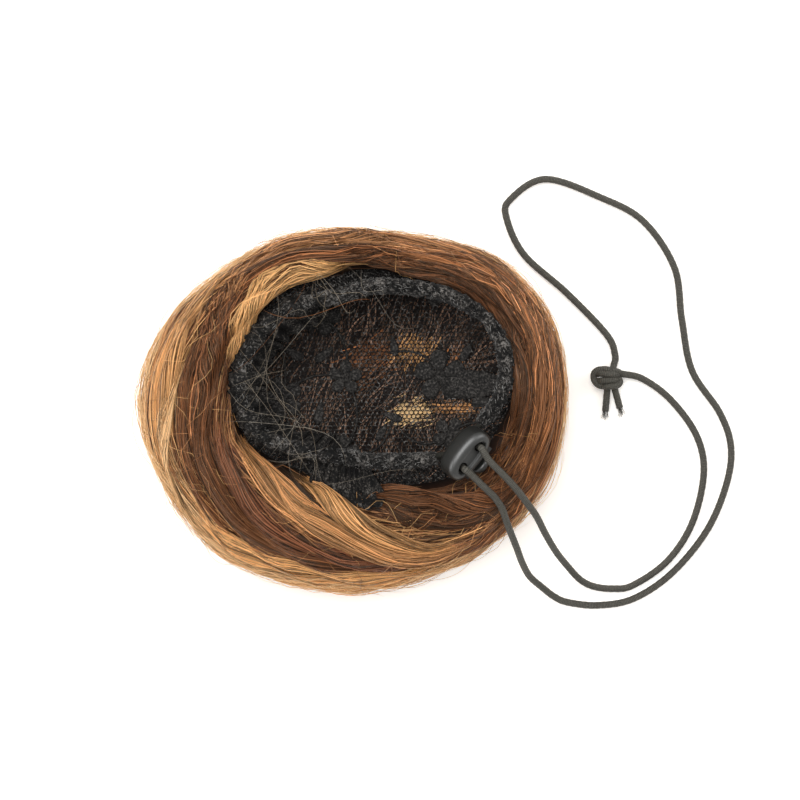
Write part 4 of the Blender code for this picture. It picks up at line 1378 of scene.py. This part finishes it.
def casing():
    rings = 430
    angles = np.linspace(CASING_START, CASING_END, rings)
    sides = 16
    turn = 2 * np.pi * np.arange(sides) / sides
    middle = rim_line(angles)
    ahead = unit(np.gradient(middle, axis=0))
    across = unit(np.cross(ahead, [0, 0, 1.0]))
    over = np.cross(across, ahead)
    end = np.clip(np.minimum((angles - CASING_START) / 8.0, (CASING_END - angles) / 8.0), 0, 1)[:, None]
    at = np.radians(angles)[:, None]
    uneven = dice.normal(0, 1, 90)
    jitter = np.interp(angles, np.linspace(-20, 310, len(uneven)), uneven)[:, None]
    fold = np.sin(at * 34 + 1.3 * np.sin(turn)[None] + 1.6 * jitter)
    small = np.sin(at * 83 + 2.1 * turn[None] + 2.0 * jitter)
    seam = 0.35 * np.cos(turn - 0.9)[None] ** 8
    reach = 3.0 - 0.35 * (1 - end) + end * (0.50 * fold + 0.24 * small + 0.14 * jitter) + seam
    outer = middle[:, None] + spokes(across * TAPE_NARROW, over, turn) * reach[..., None]
    inner = middle[::-1, None] + spokes(across, over, turn)[::-1] * CORD_TUNNEL
    rows = np.concatenate([outer, inner])
    walls = grid_walls(len(rows), sides, rows_close=True, columns_close=True)
    uv = np.stack([np.repeat(np.arange(len(rows)) * 0.5, sides), np.tile(turn, len(rows))], 1)
    return mesh_piece("casing_tape", rows.reshape(-1, 3), [walls], uv=uv)


def fuzz(count):
    """Short curled fibres that stand off the tape."""
    angles = dice.uniform(CASING_START + 1, CASING_END - 1, count)
    turn = dice.uniform(-0.4, 2 * np.pi - 1.2, count)
    middle = rim_line(angles)
    side = np.concatenate([heading(angles), np.zeros((count, 1))], 1)
    ahead = np.concatenate([heading(angles + 90), np.zeros((count, 1))], 1)
    out = side * np.cos(turn)[:, None] * TAPE_NARROW + np.array([0, 0, 1.0]) * np.sin(turn)[:, None]
    part = np.linspace(0, 1, 4)[None, :, None]
    lean = dice.normal(0, 0.8, (count, 1, 1))
    tall = dice.uniform(0.2, 0.85, (count, 1, 1))
    width = dice.uniform(0.6, 2.0, (count, 1, 1))
    curl = unit(ahead + dice.normal(0, 0.5, (count, 3)))[:, None]
    off = out[:, None] * (3.15 + tall * np.sin(np.pi * part))
    paths = middle[:, None] + off + curl * (part - 0.5) * width * (1 + 0.2 * lean)
    points, faces = tubes(paths, np.full(paths.shape[:2], 0.10), np.repeat(out[:, None], 4, 1) + 0.01)
    return mesh_piece("casing_fuzz", points, faces)


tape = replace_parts(casing(), "rim_casing")
tape_fuzz = fuzz(2600)

# The tape gets broad patches of painted shade between its puckers.
knit = flecked(
    "fuzzy_black_tape", 0.9, 0.15, (1050.0, 4.0, 0.75),
    ((0.44, (4, 4, 4)), (0.53, (31, 29, 27)), (0.64, (106, 102, 98))), (0.9, 0.0005),
    darker=0.07, Sheen_Weight=0.06, Sheen_Roughness=0.5,
)
knit.dress(tape)
loose_knit = flecked(
    "tape_fibre", 0.8, 0.2, (500.0, 2.0), ((0.40, (14, 14, 14)), (0.62, (122, 120, 117)))
)
loose_knit.dress(tape_fuzz)
core = Finish("hidden_elastic", 0.7, Specular_IOR_Level=0.2)
core.colour(core.blend(core.noise(core.place(), 1200.0), shade(14, 14, 12), shade(60, 58, 52)))
core.dress(bpy.data.objects["channel_cord"])

# %% [markdown]
# ## Gathered lace over the rim
# At the left the lace is drawn over the tape in small pleats, and near the
# front a tongue of it hangs out below the tape, between two light locks. Both
# are thin sheets. They are worked out as grids, so that every pleat runs across
# the rim, and the size of each spread flat is worked out and printed.

# %% Pleated sheets
LACE_THICK = 0.5


def pleated_sheet(name, top):
    """A thin closed sheet from a grid of points, and its width and depth spread flat."""
    across, out, _ = top.shape
    low = top - np.array([0, 0, LACE_THICK])
    points = np.concatenate([top.reshape(-1, 3), low.reshape(-1, 3)])
    half = across * out
    upper = grid_walls(across, out)
    border = np.concatenate([
        np.arange(out), np.arange(1, across) * out + out - 1,
        (across - 1) * out + np.arange(out - 2, -1, -1), np.arange(across - 2, -1, -1) * out,
    ])
    edge = np.stack([border[:-1], border[:-1] + half, border[1:] + half, border[1:]], 1)
    walls = np.concatenate([upper[:, ::-1], upper + half, edge])
    corners = points[walls[0]]
    if np.cross(corners[1] - corners[0], corners[2] - corners[0])[2] < 0:
        walls = walls[:, ::-1]
    spread = np.linalg.norm(np.diff(top, axis=0), axis=-1).sum(0).mean()
    depth = np.linalg.norm(np.diff(top, axis=1), axis=-1).sum(1).mean()
    print(name, "spread flat:", spread, "by", depth, "mm")
    return mesh_piece(name, points, [walls]), (float(spread) * MM, float(depth) * MM)


def hair_reach(angle, share):
    """Distance from the middle of the opening to a place on the hair."""
    edge = np.linalg.norm(ring(EDGE, angle)[..., None] * heading(angle) - OPENING, axis=-1)
    return ring(LIP, angle) + share * (edge - ring(LIP, angle))


# %% The tongue below the rim
TONGUE_RIM_ANGLES = (236.0, 268.0)
TONGUE_EDGE_ANGLES = (237.0, 278.0)
TONGUE_EDGE = ((0.0, -0.05), (0.3, 0.03), (0.6, 0.11), (0.78, 0.14), (0.92, 0.10), (1.0, 0.0))


def tongue():
    part, down = np.meshgrid(np.linspace(0, 1, 64), np.linspace(0, 1, 16), indexing="ij")
    near = np.interp(part, (0, 1), TONGUE_RIM_ANGLES)
    far = np.interp(part, (0, 1), TONGUE_EDGE_ANGLES)
    edge = np.array(TONGUE_EDGE)
    angle = near + (far - near) * down
    start = ring(RIM, near) + 1.6
    share = np.interp(part, edge[:, 0], edge[:, 1]) + 0.012 * np.sin(part * 44)
    radius = start + (hair_reach(far, share) - start) * down
    lip = ring(LIP, angle)
    share = np.clip((radius - lip) / (hair_reach(angle, 1.0) - lip), 0, 1)
    rest = read_grid(grid_points, angle, share)[..., 2] + 2.1
    height = 45.5 + (rest - 45.5) * np.clip(down * 1.7, 0, 1)
    pleat = np.sin(part * 58 + 1.5 * np.sin(part * 9)) * (0.7 - 0.2 * down)
    pleat = pleat + 0.25 * np.sin(part * 131 + down * 3)
    flat = OPENING + radius[..., None] * heading(angle)
    return pleated_sheet("lace_tongue", np.concatenate([flat, (height + pleat)[..., None]], -1))


# %% The pleats over the left of the rim
RUFFLE_ANGLES = (118.0, 246.0)
RUFFLE_SECTION = (
    # out from the rim's middle line, height
    (4.6, 43.2), (3.4, 46.2), (1.6, 48.2), (-0.6, 48.7),
    (-2.6, 47.6), (-4.3, 44.8), (-6.2, 41.0), (-8.4, 37.6),
)


def ruffle():
    section = np.array(RUFFLE_SECTION)
    place = np.linspace(0, len(section) - 1, 20)
    line = np.stack([np.interp(place, np.arange(len(section)), section[:, k]) for k in (0, 1)], 1)
    line[1:-1] = 0.25 * line[:-2] + 0.5 * line[1:-1] + 0.25 * line[2:]
    way = unit(np.gradient(line, axis=0))
    normal = np.stack([way[:, 1], -way[:, 0]], 1)
    angle = np.linspace(*RUFFLE_ANGLES, 210)
    at = np.radians(angle)[:, None]
    down = np.linspace(0, 1, 20)[None]
    uneven = dice.normal(0, 1, 40)
    wander = np.interp(angle, np.linspace(*RUFFLE_ANGLES, len(uneven)), uneven)[:, None]
    fold = np.sin(at * 46 + 2.2 * wander + down * 1.5) * 0.95
    fold = fold + np.sin(at * 91 + 3 * wander - down * 2) * 0.40
    shut = np.clip(np.minimum(angle - angle[0], angle[-1] - angle) / 9.0, 0, 1)[:, None]
    lift = fold * shut * (0.6 + 0.5 * down) + 0.2 - 1.2 * (1 - shut)
    moved = line[None] + normal[None] * -lift[..., None]
    radius = ring(RIM, angle)[:, None] + moved[..., 0] * (0.25 + 0.75 * shut)
    flat = OPENING + radius[..., None] * heading(angle)[:, None]
    return pleated_sheet("lace_ruffle", np.concatenate([flat, moved[..., 1:]], -1))


for (sheet, cut), lies_on in ((tongue(), ["casing_tape", "hair_packed"]), (ruffle(), ["casing_tape"])):
    gathered.dress(sheet)

# %% [markdown]
# ## The cord lock
# The cord lock is a moulded plastic bean with two holes for the cord and a
# round sprung button on its flat side. It starts as a cylinder. Its points are
# pulled into the bean's outline, its face is inset and pushed in, its edges are
# rounded, and its holes are cut with a Boolean.

# %% Mould the bean
lock_matrix = Matrix((lock_across, -lock_button, lock_along)).transposed().to_4x4()
lock_matrix.translation = Vector(LOCK_MIDDLE * MM)


BEAN_HALF_LONG, BEAN_BACK, BEAN_FRONT, BEAN_DEPTH = 9.7, 5.75, 4.95, 8.9
HOLE_SIDE, HOLE_RADIUS = 4.5, 1.8


def bean_outline(x, y):
    """Pulls a point of a round outline onto the bean's outline."""
    turn = math.atan2(y, x)
    across = math.copysign(abs(math.cos(turn)) ** (2 / 2.4), math.cos(turn))
    up = math.copysign(abs(math.sin(turn)) ** (2 / 2.4), math.sin(turn))
    return across * BEAN_HALF_LONG * MM, up * (BEAN_BACK if up > 0 else BEAN_FRONT) * MM


def apply_all(piece):
    bpy.context.view_layer.objects.active = piece
    for modifier in list(piece.modifiers):
        bpy.ops.object.modifier_apply(modifier=modifier.name)


def combine(piece, tool, operation="DIFFERENCE"):
    """Cuts the tool from the piece, or joins it on."""
    step = piece.modifiers.new("combine", "BOOLEAN")
    step.operation = operation
    step.solver = "EXACT"
    step.object = tool
    apply_all(piece)
    bpy.data.objects.remove(tool, do_unlink=True)


def round_edges(piece, width, segments):
    rounding = piece.modifiers.new("soft_edges", "BEVEL")
    rounding.width = width
    rounding.segments = segments
    rounding.limit_method = "ANGLE"
    rounding.angle_limit = math.radians(40)
    apply_all(piece)


def rod(radius, depth, sides, place=(0, 0, 0), turn=(0, 0, 0)):
    """A cylinder with its middle at a place, in millimetres."""
    bpy.ops.object.select_all(action="DESELECT")
    bpy.ops.mesh.primitive_cylinder_add(
        vertices=sides, radius=radius, depth=depth * MM, location=[v * MM for v in place], rotation=turn
    )
    return bpy.context.active_object


def block(size, place):
    """A box with its middle at a place, both in millimetres."""
    bpy.ops.object.select_all(action="DESELECT")
    bpy.ops.mesh.primitive_cube_add(size=1.0, location=[v * MM for v in place])
    box = bpy.context.active_object
    box.scale = [v * MM for v in size]
    bpy.ops.object.transform_apply(location=True, rotation=False, scale=True)
    return box


def push_in_face(piece, edge, depth):
    """Insets the top face and sinks it, for the hollow face of the lock."""
    pick(piece)
    bpy.ops.object.mode_set(mode="EDIT")
    bpy.ops.mesh.select_mode(type="FACE")
    bpy.ops.mesh.select_all(action="DESELECT")
    work = bmesh.from_edit_mesh(piece.data)
    for face in work.faces:
        face.select_set(face.normal.z > 0.99 and len(face.verts) > 40)
    bmesh.update_edit_mesh(piece.data)
    bpy.ops.mesh.inset(thickness=edge)
    bpy.ops.mesh.inset(thickness=0.0002)
    bpy.ops.transform.translate(value=(0, 0, -depth))
    bpy.ops.object.mode_set(mode="OBJECT")


def set_in_place(piece, name):
    """Names a moulding, turns it to where the cord lock sits and smooths it."""
    piece.name = piece.data.name = name
    piece.data.transform(lock_matrix)
    piece.matrix_world = Matrix.Identity(4)
    pick(piece)
    bpy.ops.object.shade_smooth_by_angle(angle=math.radians(35))
    return piece


def make_bean():
    bean = rod(1.0, BEAN_DEPTH, 96)
    for point in bean.data.vertices:
        point.co.x, point.co.y = bean_outline(point.co.x, point.co.y)
    round_edges(bean, 0.0024, 8)
    push_in_face(bean, 0.0005, 0.0011)
    round_edges(bean, 0.00025, 2)
    for side in (-1, 1):
        combine(bean, rod(HOLE_RADIUS * MM, 18.0, 32, (HOLE_SIDE * side, 0, 0)))
    combine(bean, block((14.0, 12.9, 3.8), (0, -2.55, 0)))
    return set_in_place(bean, "cord_lock_bean")


bean = make_bean()
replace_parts(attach(bean, HAIRPIECE), "toggle_body")

# %% The sprung button
def make_button():
    plate = block((13.4, 9.5, 3.2), (0, -2.15, 0))
    for side in (-1, 1):
        combine(plate, block((3.1, 4.2, 9.0), (HOLE_SIDE * side, -0.55, 0)))
    head = rod(3.9 * MM, 2.5, 64, (0, -7.55, 0), (math.pi / 2, 0, 0))
    bpy.ops.object.transform_apply(location=True, rotation=True, scale=True)
    round_edges(head, 0.0009, 4)
    combine(plate, head, "UNION")
    return set_in_place(plate, "cord_lock_button")


button = make_button()
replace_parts(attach(button, BUTTON), "toggle_button")

plastic = Finish("moulded_plastic", 0.38, Specular_IOR_Level=1.0)
grain = plastic.noise(plastic.place(), 1500.0, 3.0)
plastic.colour(plastic.blend(grain, shade(20, 20, 18), shade(34, 34, 31)))
plastic.roughness(grain * 0.12 + 0.33)
plastic.bump(grain, 0.12, 0.00008)
plastic.dress(bean, button)

# %% [markdown]
# ## Table and light
# The piece lies on a white table under broad soft light, so that the table
# turns almost as white as paper and only a faint shade shows under the cord.

# %% White table and soft light
bpy.ops.object.select_all(action="DESELECT")
bpy.ops.mesh.primitive_plane_add(size=4.0, location=(0, 0, -0.0003))
table = bpy.context.active_object
table.name = table.data.name = "white_table"
paper = Finish("white_table_top", 0.9, Specular_IOR_Level=0.1, Emission_Strength=0.25)
paper.colour(shade(250, 246, 239))
paper.join(paper.surface.inputs["Emission Color"], shade(255, 255, 255))
paper.dress(table)


LIGHTS = (
    # name, place, width, watts
    ("wide_top_light", (-0.25, 0.35, 1.25), 1.1, 17.0),
    ("left_fill", (-1.1, -0.3, 0.7), 0.8, 6.0),
    ("right_fill", (1.0, 0.5, 0.8), 0.8, 6.0),
)
for name, place, width, watts in LIGHTS:
    lamp = bpy.data.lights.new(name, "AREA")
    lamp.size = width
    lamp.energy = watts
    holder = bpy.data.objects.new(name, lamp)
    holder.location = place
    holder.rotation_euler = (-Vector(place)).to_track_quat("-Z", "Y").to_euler()
    bpy.context.scene.collection.objects.link(holder)

sky = bpy.data.worlds.new("studio")
sky.use_nodes = True
sky.node_tree.nodes["Background"].inputs["Color"].default_value = (1.0, 1.0, 1.0, 1.0)
sky.node_tree.nodes["Background"].inputs["Strength"].default_value = 0.55
bpy.context.scene.world = sky
bpy.context.scene.view_settings.view_transform = "Standard"

# %% Sizes, and the end
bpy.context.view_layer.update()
shown = [piece for piece in bpy.context.scene.objects if piece.type == "MESH" and not piece.hide_render]
print("triangles in all:", sum(len(face.vertices) - 2 for piece in shown for face in piece.data.polygons))
